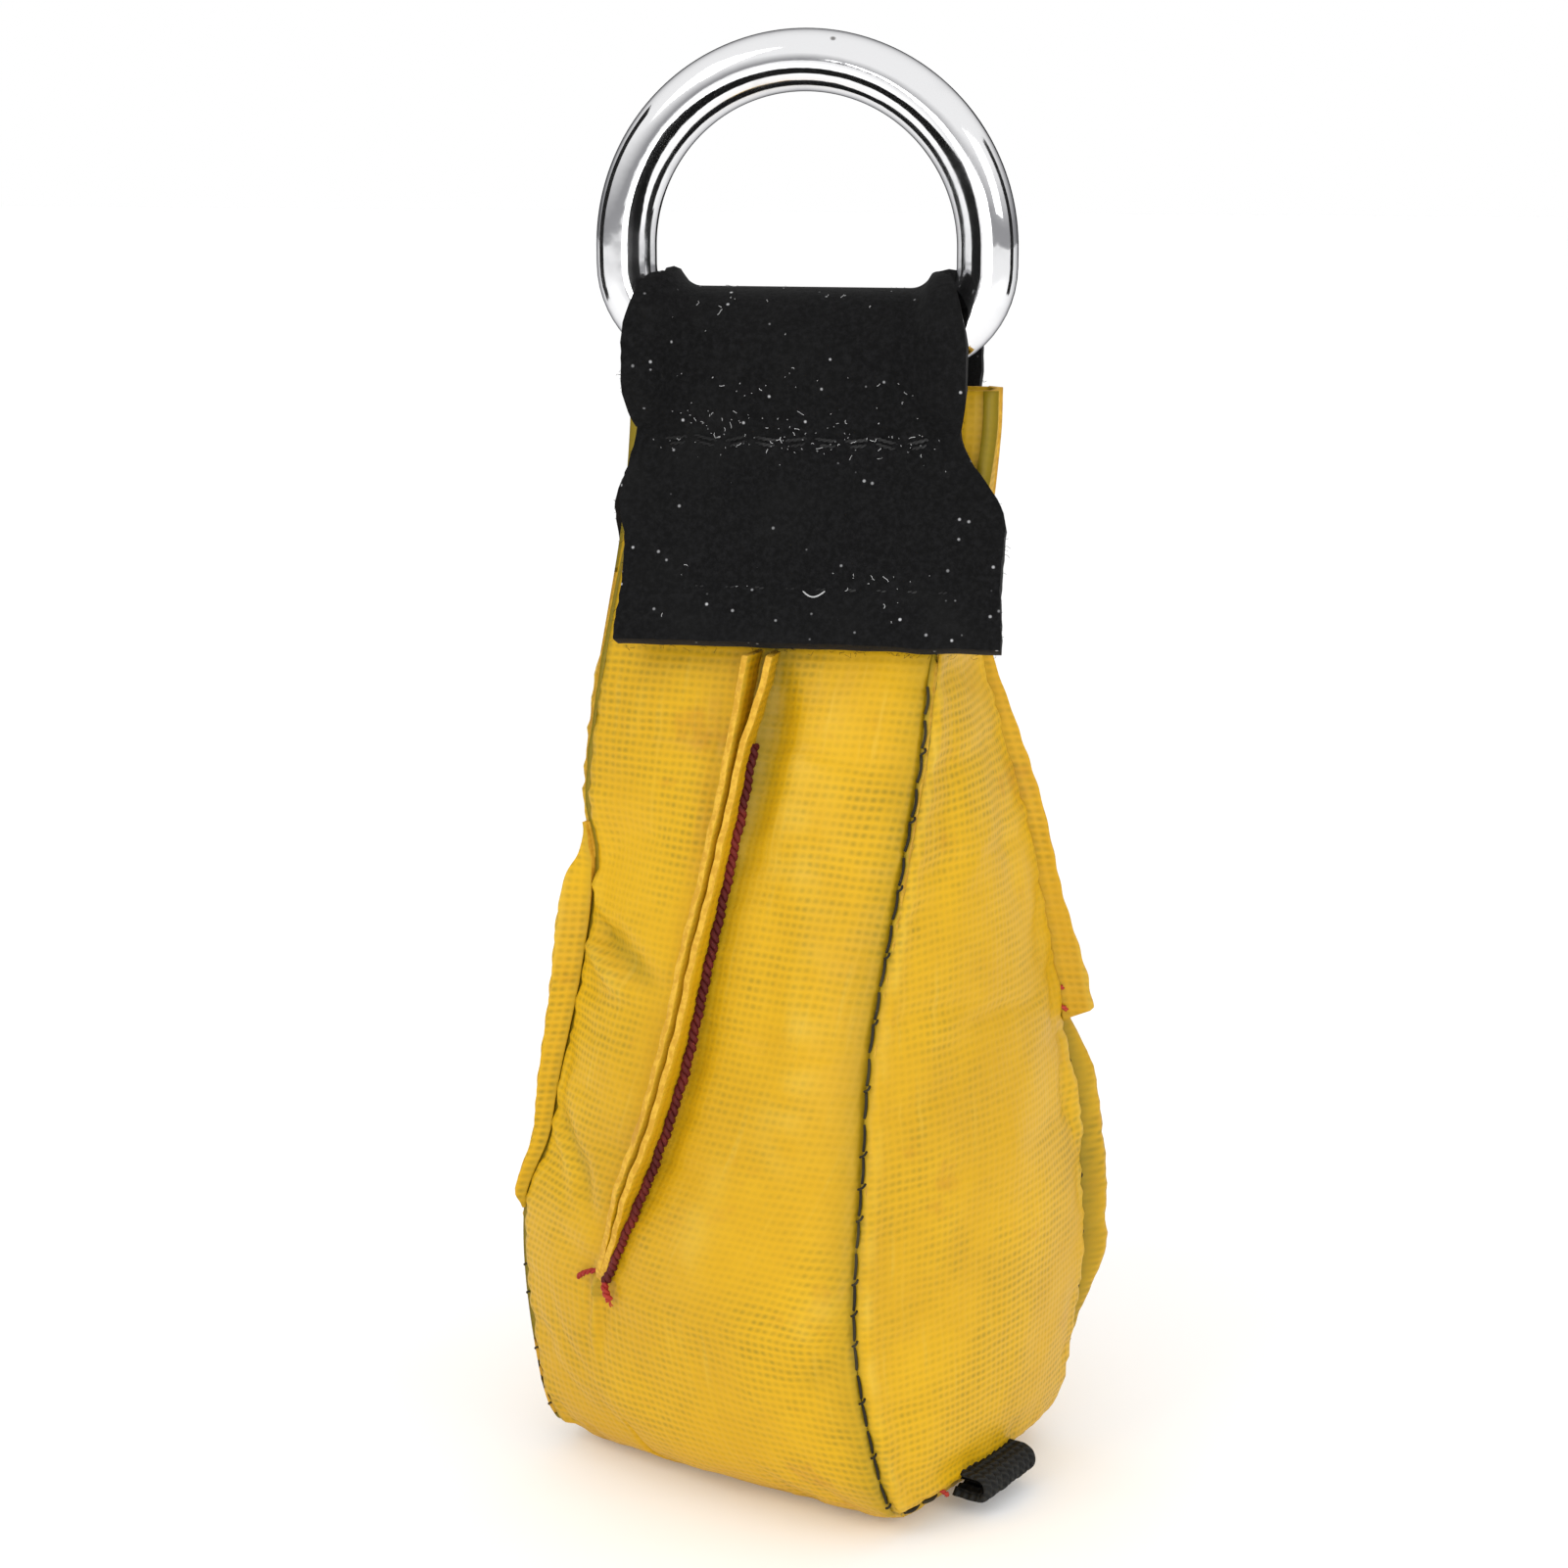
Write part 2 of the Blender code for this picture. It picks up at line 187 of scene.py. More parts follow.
def yellowCloth():
    look = {
        "main": (0.655, 0.374, 0.003), "deep": (0.565, 0.312, 0.003), "stain": (0.490, 0.222, 0.009),
        "olive": (0.150, 0.125, 0.006), "pale": (0.68, 0.50, 0.085), "weavePitch": 0.8,
    }
    f = Finish("coatedYellowCloth", Coat_Weight=0.05, Coat_Roughness=0.20, Specular_IOR_Level=0.22)
    uv = f.node("ShaderNodeUVMap", {"uv_map": "weave"})
    across, along, _ = f.parts(uv)
    spot = f.place()
    sway = f.noise(spot, 160, 2) * 0.5
    wave = 2 * pi / look["weavePitch"]
    warp = ((across + sway) * wave).cosine() * 0.5 + 0.5
    weft = ((along + sway) * wave).cosine() * 0.5 + 0.5
    hollows = (warp * weft) ** 0.8
    patches = f.noise(spot, 75, 3).between(0.36, 0.66)
    broad = f.noise(spot, 32, 4, 0.6)
    blotch = f.noise(spot, 120, 4, 0.62).between(0.60, 0.78)
    grain = f.noise(spot, 2600, 2)
    # painted shade: this attribute darkens seam grooves, the dart's foot, the fin's side and deep creases
    # toward olive
    hollow_shade = f.node("ShaderNodeAttribute", {"attribute_name": "hollow_shade"}, give="Fac")
    # pale on raised crease ridges, gusset shoulders and fin tops: partly wear, partly painted highlight
    wear_and_highlight = f.node("ShaderNodeAttribute", {"attribute_name": "wear_and_highlight"}, give="Fac")
    colour = f.mix(broad.between(0.35, 0.68), look["deep"], look["main"])
    colour = f.mix(blotch * 0.60, colour, look["stain"])
    fade = f.noise(spot, 700, 2).between(0.30, 0.70) * 0.5 + 0.5
    rows = (weft * 0.36 + hollows * 0.64) * (0.18 + patches * 0.42) * fade
    colour = f.mix(rows, colour, look["olive"])
    streaks = f.noise(f.node("ShaderNodeCombineXYZ", values={"X": across * 0.9, "Y": along * 0.08}), 1.0, 3)
    # paler by the ridge mark (wear and painted highlight) and by random streaks
    colour = f.mix((wear_and_highlight + streaks.between(0.58, 0.80) * 0.22) * 0.8, colour, look["pale"])
    # painted shade: olive where the groove and crease mark is high
    colour = f.mix(hollow_shade * 0.85, colour, look["olive"])
    rough = 0.40 + broad * 0.10 + grain * 0.06 + hollows * 0.10
    low = f.bump(hollows * -0.55 + (1.0 - weft) * 0.25 + (1.0 - warp) * 0.12, 0.000055, 0.8)
    fine = f.bump(grain, 0.00002, 0.35, low)
    f.feed(Base_Color=colour, Roughness=rough, Normal=fine)
    return f.material


def cutEdge():
    f = Finish("cutClothEdge", Specular_IOR_Level=0.3)
    spot = f.place()
    fray = f.noise(spot, 1500, 3)
    patch = f.noise(spot, 210, 3)
    colour = f.mix(fray.between(0.40, 0.62), (0.52, 0.27, 0.012), (0.64, 0.37, 0.03))
    colour = f.mix(patch.between(0.55, 0.7) * 0.5, colour, (0.40, 0.19, 0.02))
    f.feed(Base_Color=colour, Roughness=0.5 + fray * 0.25, Normal=f.bump(fray, 0.00006, 0.7))
    return f.material


def feltWebbing():
    f = Finish("blackFeltWebbing", Specular_IOR_Level=0.12, Sheen_Weight=0.03, Sheen_Roughness=0.4)
    spot = f.place()
    nap = f.noise(spot, 1900, 4, 0.7)
    tufts = f.noise(spot, 620, 3, 0.6)
    dull = f.noise(spot, 90, 3)
    specks, (red, _, blue) = f.cells(spot, 1150.0)
    chosen = red.above(0.90) * (1.0 - specks.between(0.08, 0.24))
    colour = f.mix(nap.between(0.35, 0.75), (0.0022, 0.0022, 0.0023), (0.0085, 0.0085, 0.009))
    colour = f.mix(dull.between(0.40, 0.70) * 0.5, colour, (0.0095, 0.0095, 0.0093))
    colour = f.mix(chosen * (0.25 + blue * 0.6), colour, (0.55, 0.55, 0.56))
    height = nap * 0.6 + tufts * 0.8
    f.feed(Base_Color=colour, Roughness=0.82 + nap * 0.15, Normal=f.bump(height, 0.00016, 0.75))
    return f.material


def ribbedKnit():
    f = Finish("blackRibbedKnit", Specular_IOR_Level=0.3)
    uv = f.node("ShaderNodeUVMap", {"uv_map": "weave"})
    across, along, _ = f.parts(uv)
    loops = ((along * 1.15) * 2 * pi + (across * (2 * pi / 1.1)).cosine() * 1.4).sine() * 0.5 + 0.5
    fuzz = f.noise(f.place(), 2100, 3)
    colour = f.mix(loops * 0.6 + fuzz * 0.4, (0.0035, 0.0035, 0.0035), (0.020, 0.020, 0.018))
    f.feed(Base_Color=colour, Roughness=0.68 + fuzz * 0.2, Normal=f.bump(loops + fuzz * 0.4, 0.00020, 0.9))
    return f.material


def chromeSteel():
    f = Finish("chromedSteel", Metallic=1.0, Specular_Tint=(0.16, 0.16, 0.17, 1))
    spot = f.place()
    wear = f.noise(spot, 95, 4, 0.6)
    haze = f.noise(spot, 420, 3)
    pits, (pick, _, _) = f.cells(spot, 330.0)
    pit = pick.above(0.90) * (1.0 - pits.between(0.05, 0.13))
    colour = f.mix(wear.between(0.52, 0.72) * 0.45, (0.84, 0.84, 0.85), (0.62, 0.62, 0.63))
    colour = f.mix(pit * 0.85, colour, (0.14, 0.13, 0.12))
    rough = 0.045 + wear.between(0.45, 0.75) * 0.12 + haze * 0.03 + pit * 0.3
    waves = f.bump(wear, 0.00022, 0.30)
    f.feed(Base_Color=colour, Roughness=rough, Normal=f.bump(pit * -1.0, 0.00010, 0.8, waves))
    return f.material


def sewingThread(name, dark, light):
    f = Finish(name, Specular_IOR_Level=0.25)
    spot = f.place()
    fibre = f.noise(spot, 2400, 4, 0.65)
    fade = f.noise(spot, 170, 3)
    colour = f.mix(fade.between(0.45, 0.70), dark, light)
    colour = f.mix(fibre.between(0.62, 0.80) * 0.55, colour, tuple(min(c * 3 + 0.04, 1) for c in light))
    f.feed(Base_Color=colour, Roughness=0.50 + fibre * 0.3, Normal=f.bump(fibre, 0.00006, 0.8))
    return f.material


def linerCloth():
    f = Finish("linerCanvas")
    spot = f.place()
    x, y, z = f.parts(spot)
    weave = ((x + y) * 5200.0).sine() * (z * 5200.0).sine() * 0.5 + 0.5
    soil = f.noise(spot, 60, 4)
    colour = f.mix(weave * 0.35 + soil.between(0.4, 0.7) * 0.3, (0.66, 0.64, 0.58), (0.42, 0.40, 0.35))
    f.feed(Base_Color=colour, Roughness=0.78 + soil * 0.15, Normal=f.bump(weave, 0.00008, 0.8))
    return f.material


def steelShot():
    f = Finish("steelShot", Metallic=1.0)
    spot = f.place()
    grains, _ = f.cells(spot, 420.0, 0.75)
    grime = f.noise(spot, 300, 3)
    colour = f.mix(grains.between(0.15, 0.62), (0.44, 0.44, 0.45), (0.05, 0.05, 0.055))
    f.feed(Base_Color=colour, Roughness=0.32 + grime * 0.3, Normal=f.bump(1.0 - grains, 0.0012, 1.0))
    return f.material


clothFinish, edgeFinish = yellowCloth(), cutEdge()
webFinish, knitFinish, ringFinish = feltWebbing(), ribbedKnit(), chromeSteel()
maroonThread = sewingThread("maroonThread", (0.075, 0.006, 0.006), (0.160, 0.016, 0.012))
brightThread = sewingThread("brightRedThread", (0.30, 0.020, 0.014), (0.46, 0.050, 0.030))
blackThread = sewingThread("blackThread", (0.007, 0.007, 0.007), (0.026, 0.026, 0.026))
darkThread = sewingThread("darkThread", (0.014, 0.011, 0.004), (0.040, 0.032, 0.012))
# white for the lint bits, and also a painted glint on one thread loop
lintAndGlintFinish = sewingThread("whiteLintAndGlint", (0.42, 0.42, 0.42), (0.62, 0.62, 0.62))
print("finishes made")


# Height, half width, half depth, crown of front and back, crown of sides, turn in degrees, shift in x
bagRows = (
    (0.0, 21.0, 15.4, 0.8, 0.8, -22.0, 0.0),
    (8.0, 22.0, 17.8, 2.4, 2.0, -26.0, 0.0),
    (23.0, 22.4, 19.6, 3.6, 3.0, -29.5, 0.0),
    (38.0, 21.3, 18.8, 3.8, 3.2, -28.0, 0.2),
    (52.0, 19.6, 16.9, 3.2, 2.8, -26.0, 0.5),
    (68.0, 18.7, 13.4, 2.2, 2.0, -20.0, 0.0),
    (78.0, 18.1, 10.8, 1.6, 1.3, -13.0, -1.0),
    (88.0, 17.2, 8.5, 1.0, 0.8, -6.0, -1.3),
    (100.0, 17.9, 4.1, 0.5, 0.3, -2.0, 0.3),
    (108.0, 18.1, 2.5, 0.2, 0.1, 0.0, 1.0),
    (112.4, 18.1, 2.3, 0.1, 0.1, 0.0, 1.1),
)
bag = {
    "cloth": 0.6, "gap": 0.3, "mouth": 112.4, "hem": 87.8, "baseBend": 5.0, "seamLift": 2.5, "seamCurl": 4.0,
    "cell": 0.8, "dartEnd": 22.0, "stitchPitch": 3.1, "seamDepth": 0.75, "pucker": 0.16, "pinch": 1.9,
    "baseWidth": 42.0, "baseDepth": 31.3, "rollOut": 3.4, "deepest": 1.25,
    "simScale": 10.0, "simFrames": 24, "growth": 0.014, "pressure": 2.0, "mostMove": 1.6, "keep": 0.75,
}
front, right, back, left = range(4)
cornerSigns = ((-1, -1), (1, -1), (1, 1), (-1, 1))
sectionsMade = {}


def smooth(t):
    t = min(max(t, 0.0), 1.0)
    return t * t * (3 - 2 * t)


def sectionAt(z):
    key = round(z, 4)
    if key not in sectionsMade:
        last = len(bagRows) - 2
        row = max(i for i in range(last + 1) if i == 0 or bagRows[i][0] <= z)
        before, low, high, after = (bagRows[min(max(row + k, 0), last + 1)] for k in (-1, 0, 1, 2))
        span = high[0] - low[0]
        t = min(max((z - low[0]) / span, 0.0), 1.0)
        values = []
        for p0, p1, p2, p3 in zip(before[1:], low[1:], high[1:], after[1:]):
            slopeLow = (p2 - p0) / (high[0] - before[0]) * span
            slopeHigh = (p3 - p1) / (after[0] - low[0]) * span
            bend = p1 * (2 * t**3 - 3 * t**2 + 1) + p2 * (3 * t**2 - 2 * t**3)
            values.append(bend + slopeLow * (t**3 - 2 * t**2 + t) + slopeHigh * (t**3 - t**2))
        sectionsMade[key] = values
    return sectionsMade[key]


def foldInset(z):
    below = max(bag["baseBend"] - z, 0.0)
    return bag["baseBend"] - sqrt(bag["baseBend"] ** 2 - below**2)


def cornerAt(index, z):
    halfWidth, halfDepth = sectionAt(z)[:2]
    signX, signY = cornerSigns[index % 4]
    return Vector((signX * halfWidth, signY * (halfDepth - foldInset(z))))


def turned(x, y, z, height=None):
    turn, shift = sectionAt(z)[4:6]
    c, s = cos(radians(turn)), sin(radians(turn))
    return Vector((c * x - s * y + shift, s * x + c * y, z if height is None else height))


# How far the front left edge is drawn in by its dart
def pinch(side, s, z):
    run = s if side == front else 1 - s if side == left else 1
    if run > 0.6:
        return 0.0
    drawn = smooth((z - 27) / 9) * smooth((72 - z) / 9)
    return bag["pinch"] * drawn * np.exp(-((run * sideLength(side, z) / 6.5) ** 2))


def wallPoint(side, s, z):
    start, end = cornerAt(side, z), cornerAt(side + 1, z)
    away = Vector((end.y - start.y, start.x - end.x)).normalized()
    away = away * sectionAt(z)[2 + side % 2] * 4 * s * (1 - s)
    x, y = start.x + (end.x - start.x) * s + away.x, start.y + (end.y - start.y) * s + away.y
    drawn = pinch(side, s, z)
    return turned(x + drawn * 0.86, y + drawn * 0.5, z)


def outwardAt(side, s, z):
    if s in (0, 1):
        return (wallPoint(side, s, z) - turned(0, 0, z)).normalized()
    along = wallPoint(side, min(s + 0.02, 1.0), z) - wallPoint(side, max(s - 0.02, 0.0), z)
    return Vector((along.y, -along.x, 0)).normalized()


def besideOf(away):
    return Vector((-away.y, away.x, 0))


def dartPlace(z):
    return 0.5 - 0.2 * (min(max(50 - z, 0), 28) / 29) ** 1.7


def sideLength(side, z):
    return 2 * sectionAt(z)[side % 2]


def denseSteps(length):
    near = [0, 0.22, 0.46, 0.74, 1.08, 1.5, 2.05, 2.75]
    count = round((length - 2 * near[-1]) / bag["cell"])
    middle = list(np.linspace(near[-1], length - near[-1], count + 1)[1:-1])
    return np.array(near + middle + [length - n for n in reversed(near)]) / length


def panelColumns(z):
    half, dart = denseSteps(22), dartPlace(z)
    return np.concatenate([half * dart, dart + half[1:] * (1 - dart)])


class Skin:
    def __init__(self):
        self.points, self.where, self.faces, self.cloth, self.panel = [], [], [], [], []
        self.gusset = denseSteps(35)
        low = [2.5, 2.72, 2.96, 3.24, 3.58, 4.0, 4.55, 5.25]
        count = round((bag["mouth"] - low[-1]) / bag["cell"])
        self.heights = (low + list(np.linspace(low[-1], bag["mouth"], count + 1)[1:]))[::-1]
        self.walls()
        self.base()
        self.points = np.array(self.points)
        self.faces = np.array(self.faces)

    def sideColumns(self, side, z):
        return panelColumns(z) if side % 2 == 0 else self.gusset

    def add(self, point, side, s, z):
        self.points.append(tuple(point))
        self.where.append((side, s, z))
        return len(self.points) - 1

    def walls(self):
        self.rows = []
        for z in self.heights:
            row = []
            for side in range(4):
                columns = self.sideColumns(side, z)[:-1]
                row.append([self.add(wallPoint(side, s, z), side, s, z) for s in columns])
            for side in range(4):
                row[side].append(row[(side + 1) % 4][0])
            self.rows.append(row)
        for upper, lower, zu, zl in zip(self.rows, self.rows[1:], self.heights, self.heights[1:]):
            for side in range(4):
                su, sl = self.sideColumns(side, zu), self.sideColumns(side, zl)
                middle = dartPlace if side % 2 == 0 else (lambda z: 0.5)
                for k in range(len(su) - 1):
                    above, below = upper[side], lower[side]
                    self.faces.append((above[k], below[k], below[k + 1], above[k + 1]))
                    self.cloth.append([((s - middle(z)) * sideLength(side, z), z) for s, z in (
                        (su[k], zu), (sl[k], zl), (sl[k + 1], zl), (su[k + 1], zu))])
                    self.panel.append({front: 0, back: 0, right: 1, left: 2}[side])

    def base(self):
        bend, lift = bag["baseBend"], bag["seamLift"]
        angle = np.arccos(1 - lift / bend)
        flat = 2 * (sectionAt(0)[1] - bend)
        bottom = self.rows[-1]
        count = len(self.gusset) - 1
        frontPlaces = panelColumns(0)
        backPlaces = 1 - panelColumns(0)[::-1]
        grid = [bottom[front]]
        for j in range(1, count):
            across = self.gusset[j]
            run = across * (flat + 2 * bend * angle)
            row = [bottom[left][count - j]]
            for k in range(1, len(frontPlaces) - 1):
                u = frontPlaces[k] + (backPlaces[k] - frontPlaces[k]) * across
                row.append(self.add(self.basePoint(u, across, run, flat, angle), 4, u, across))
            row.append(bottom[right][j])
            grid.append(row)
        grid.append(bottom[back][::-1])
        for j in range(count):
            for k in range(len(frontPlaces) - 1):
                self.faces.append((grid[j][k], grid[j + 1][k], grid[j + 1][k + 1], grid[j][k + 1]))
                self.cloth.append([((frontPlaces[k + a] - 0.31) * bag["baseWidth"],
                                    lift - self.gusset[j + b] * bag["baseDepth"])
                                   for a, b in ((0, 0), (0, 1), (1, 1), (1, 0))])
                self.panel.append(0)

    def basePoint(self, u, across, run, flat, angle):
        bend, lift = bag["baseBend"], bag["seamLift"]
        arc = bend * angle
        if run < arc:
            z = bend * (1 - cos(angle - run / bend))
        elif run > arc + flat:
            z = bend * (1 - cos((run - arc - flat) / bend))
        else:
            z = 0.0
        edge = min(u, 1 - u) * 2 * sectionAt(0)[0]
        z = max(z, lift * max(1 - edge / bag["seamCurl"], 0) ** 2)
        halfWidth, halfDepth, crown, sideCrown = sectionAt(z)[:4]
        rim = halfDepth - foldInset(z)
        level = (2 * across - 1) * rim
        if run < arc or run > arc + flat:
            profile = (rim + crown * 4 * u * (1 - u)) * (-1 if run < arc else 1)
        else:
            halfDepth, crown = sectionAt(0)[1:3]
            profile = (halfDepth - bend + crown * 4 * u * (1 - u)) * (2 * (run - arc) / flat - 1)
        y = level + (profile - level) * smooth(edge / bag["seamCurl"])
        x = (2 * u - 1) * (halfWidth + sideCrown * 4 * across * (1 - across))
        return turned(x, y, z)

    def normals(self, points):
        a, b, c, d = (points[self.faces[:, i]] for i in range(4))
        faceNormal = np.cross(c - a, d - b)
        found = np.zeros_like(points)
        for i in range(4):
            np.add.at(found, self.faces[:, i], faceNormal)
        return found / np.maximum(np.linalg.norm(found, axis=1), 1e-12)[:, None]


def measureSkin(skin):
    seam, dart, bottom = (np.full(len(skin.points), 99.0) for _ in range(3))
    flat = np.zeros((len(skin.points), 2))
    for i, (side, s, z) in enumerate(skin.where):
        if side == 4:
            seam[i] = min(s, 1 - s) * bag["baseWidth"]
            continue
        length = sideLength(side, z)
        seam[i] = min(s, 1 - s) * length
        flat[i] = (s - 0.5) * length, z
        if side % 2:
            bottom[i] = z - bag["seamLift"]
        else:
            dart[i] = (s - dartPlace(z)) * length
    return seam, dart, bottom, flat


def puffOut(skin, seam, dart, bottom, heights):
    grow = bag["simScale"] * mm
    mesh = bpy.data.meshes.new("puffing")
    mesh.from_pydata([tuple(p * grow) for p in skin.points], [], [tuple(f) for f in skin.faces.tolist()])
    shell = bpy.data.objects.new("puffing", mesh)
    bpy.context.scene.collection.objects.link(shell)
    pickOnly(shell)
    onDart = (np.abs(dart) < 0.3) & (heights > bag["dartEnd"])
    held = (seam < 0.3) | (bottom < 0.3) | onDart | (heights > bag["hem"] - 1.5) | (skin.points[:, 2] < 0.4)
    group = shell.vertex_groups.new(name="sewn")
    group.add([int(i) for i in np.nonzero(held)[0]], 1.0, "REPLACE")
    cloth = shell.modifiers.new("Cloth", "CLOTH")
    cloth.settings.quality = 4
    cloth.settings.mass = 0.2
    cloth.settings.tension_stiffness = cloth.settings.compression_stiffness = 25
    cloth.settings.shear_stiffness = 10
    cloth.settings.bending_stiffness = 0.6
    cloth.settings.air_damping = 3
    cloth.settings.vertex_group_mass = "sewn"
    cloth.settings.shrink_min = -bag["growth"]
    cloth.settings.use_pressure = True
    cloth.settings.uniform_pressure_force = bag["pressure"]
    cloth.settings.effector_weights.gravity = 0
    cloth.collision_settings.use_collision = False
    cloth.point_cache.frame_start, cloth.point_cache.frame_end = 1, bag["simFrames"]
    for step in range(1, bag["simFrames"] + 1):
        bpy.context.scene.frame_set(step)
    graph = bpy.context.evaluated_depsgraph_get()
    moved = np.zeros(len(skin.points) * 3)
    shell.evaluated_get(graph).data.vertices.foreach_get("co", moved)
    bpy.context.scene.frame_set(1)
    bpy.data.objects.remove(shell)
    move = moved.reshape(-1, 3) / grow - skin.points
    length = np.linalg.norm(move, axis=1)
    limit = np.minimum(1, bag["mostMove"] / np.maximum(length, 1e-9))[:, None]
    print("cloth settled: moved %.2f mm on average, %.2f at most" % (length.mean(), length.max()))
    return move * limit * bag["keep"]


# Creases laid in one by one: side, path of (place across, height), half width, depth (positive stands out)
creases = (
    (front, ((0.02, 59.0), (0.12, 57.5), (0.24, 56.0), (0.42, 53.5)), 1.6, -1.25),
    (front, ((0.02, 56.5), (0.14, 54.6), (0.26, 53.2)), 1.1, 0.85),
    (front, ((0.0, 64.0), (0.05, 60.5), (0.16, 57.6)), 0.8, 0.50),
    (front, ((0.02, 38.5), (0.10, 37.0), (0.22, 34.0), (0.30, 29.0)), 1.4, -0.95),
    (front, ((0.03, 36.0), (0.11, 34.6), (0.19, 32.4)), 0.8, 0.45),
    (front, ((0.02, 48.0), (0.06, 43.0), (0.05, 38.0)), 1.0, -0.35),
    (front, ((1.0, 25.0), (0.95, 21.5), (0.90, 18.6), (0.84, 16.0)), 1.7, -0.80),
    (front, ((0.97, 28.0), (0.91, 25.0), (0.86, 22.5)), 1.6, 0.30),
    (front, ((1.0, 50.0), (0.96, 49.2), (0.91, 48.8)), 0.8, -0.40),
    (front, ((1.0, 47.6), (0.95, 47.0), (0.90, 46.8)), 0.7, -0.30),
    (front, ((0.31, 24.5), (0.30, 20.0), (0.27, 14.0)), 0.55, 0.50),
    (front, ((0.33, 23.0), (0.315, 18.0), (0.29, 13.0)), 0.9, -0.35),
    (front, ((0.29, 22.0), (0.27, 17.0), (0.25, 12.5)), 0.9, -0.30),
    (front, ((0.19, 85.5), (0.16, 82.5), (0.17, 80.0), (0.13, 77.0)), 0.45, 0.20),
    (front, ((0.09, 84.0), (0.10, 78.0), (0.08, 72.0)), 0.7, -0.18),
    (front, ((0.40, 86.5), (0.41, 79.0), (0.44, 71.0), (0.42, 63.0)), 1.1, -0.55),
    (front, ((0.58, 86.5), (0.59, 80.0), (0.58, 73.0), (0.57, 66.0)), 1.5, -0.95),
    (front, ((0.70, 84.0), (0.69, 74.0), (0.72, 62.0)), 3.4, 0.35),
    (front, ((0.68, 66.0), (0.71, 56.0), (0.76, 46.0)), 2.2, -0.40),
    (front, ((0.80, 62.0), (0.82, 50.0), (0.80, 38.0)), 2.4, 0.40),
    (front, ((0.56, 52.0), (0.53, 44.0), (0.47, 34.0)), 1.6, -0.35),
    (front, ((0.66, 40.0), (0.62, 32.0), (0.58, 25.0)), 2.4, 0.28),
    (front, ((0.10, 22.0), (0.16, 15.0), (0.27, 9.0)), 0.9, -0.22),
    (front, ((0.05, 17.0), (0.11, 11.0), (0.20, 7.0)), 0.8, -0.20),
    (right, ((0.16, 84.0), (0.22, 74.0), (0.20, 62.0)), 1.6, -0.30),
    (right, ((0.62, 82.0), (0.66, 68.0), (0.74, 56.0)), 2.0, -0.35),
    (right, ((0.97, 62.0), (0.88, 58.0), (0.80, 52.0)), 1.1, -0.35),
    (right, ((0.97, 55.0), (0.90, 50.0), (0.85, 44.0)), 1.0, -0.45),
    (right, ((1.0, 47.5), (0.93, 45.0), (0.90, 40.0), (0.94, 34.0)), 1.2, -0.60),
    (right, ((0.99, 33.0), (0.95, 30.0), (0.96, 24.0)), 1.1, -0.40),
    (right, ((0.97, 41.0), (0.985, 37.0), (0.985, 31.0)), 1.0, 0.55),
    (right, ((0.03, 9.0), (0.22, 5.6), (0.45, 4.6)), 1.4, -0.30),
    (right, ((0.10, 30.0), (0.30, 24.0), (0.52, 22.0)), 3.5, -0.30),
    (left, ((0.97, 60.0), (0.90, 56.0), (0.80, 54.0)), 1.3, -0.55),
    (left, ((0.98, 38.0), (0.88, 35.0), (0.80, 30.0)), 1.2, -0.50),
    (left, ((0.03, 66.0), (0.15, 60.0), (0.30, 57.0)), 1.5, -0.50),
    (left, ((0.50, 84.0), (0.52, 70.0), (0.46, 58.0)), 2.2, -0.40),
    (left, ((0.25, 30.0), (0.45, 24.0), (0.68, 22.0)), 3.0, -0.35),
    (back, ((0.03, 60.0), (0.16, 57.0), (0.34, 52.0)), 1.4, -0.60),
    (back, ((0.40, 86.5), (0.42, 78.0), (0.41, 68.0)), 1.4, -0.70),
    (back, ((0.60, 86.5), (0.59, 78.0), (0.60, 67.0)), 1.5, -0.80),
    (back, ((0.98, 46.0), (0.88, 42.0), (0.74, 40.0)), 1.5, -0.55),
    (back, ((0.97, 26.0), (0.88, 20.0), (0.80, 15.0)), 1.7, -0.60),
    (back, ((0.02, 28.0), (0.12, 22.0), (0.20, 15.0)), 1.6, -0.55),
    (back, ((0.72, 68.0), (0.76, 54.0), (0.72, 42.0)), 2.4, 0.35),
)


def distanceTo(flat, start, end):
    along = end - start
    t = np.clip(((flat - start) @ along) / (along @ along), 0, 1)
    return np.linalg.norm(flat - start - t[:, None] * along, axis=1), t


def layCreases(flat, sides):
    lift = np.zeros(len(flat))
    for side, path, width, depth in creases:
        on = np.nonzero(sides == side)[0]
        stops = [np.array(((s - 0.5) * sideLength(side, z), z)) for s, z in path]
        nearest, share = np.full(len(on), 1e9), np.zeros(len(on))
        for i, (start, end) in enumerate(zip(stops, stops[1:])):
            distance, t = distanceTo(flat[on], start, end)
            closer = distance < nearest
            share[closer] = (i + t[closer]) / (len(stops) - 1)
            nearest[closer] = distance[closer]
        ends = np.clip(np.minimum(share, 1 - share) * 3.2 + 0.15, 0, 1)
        lift[on] += depth * ends * np.exp(-((nearest / width) ** 2))
    return lift


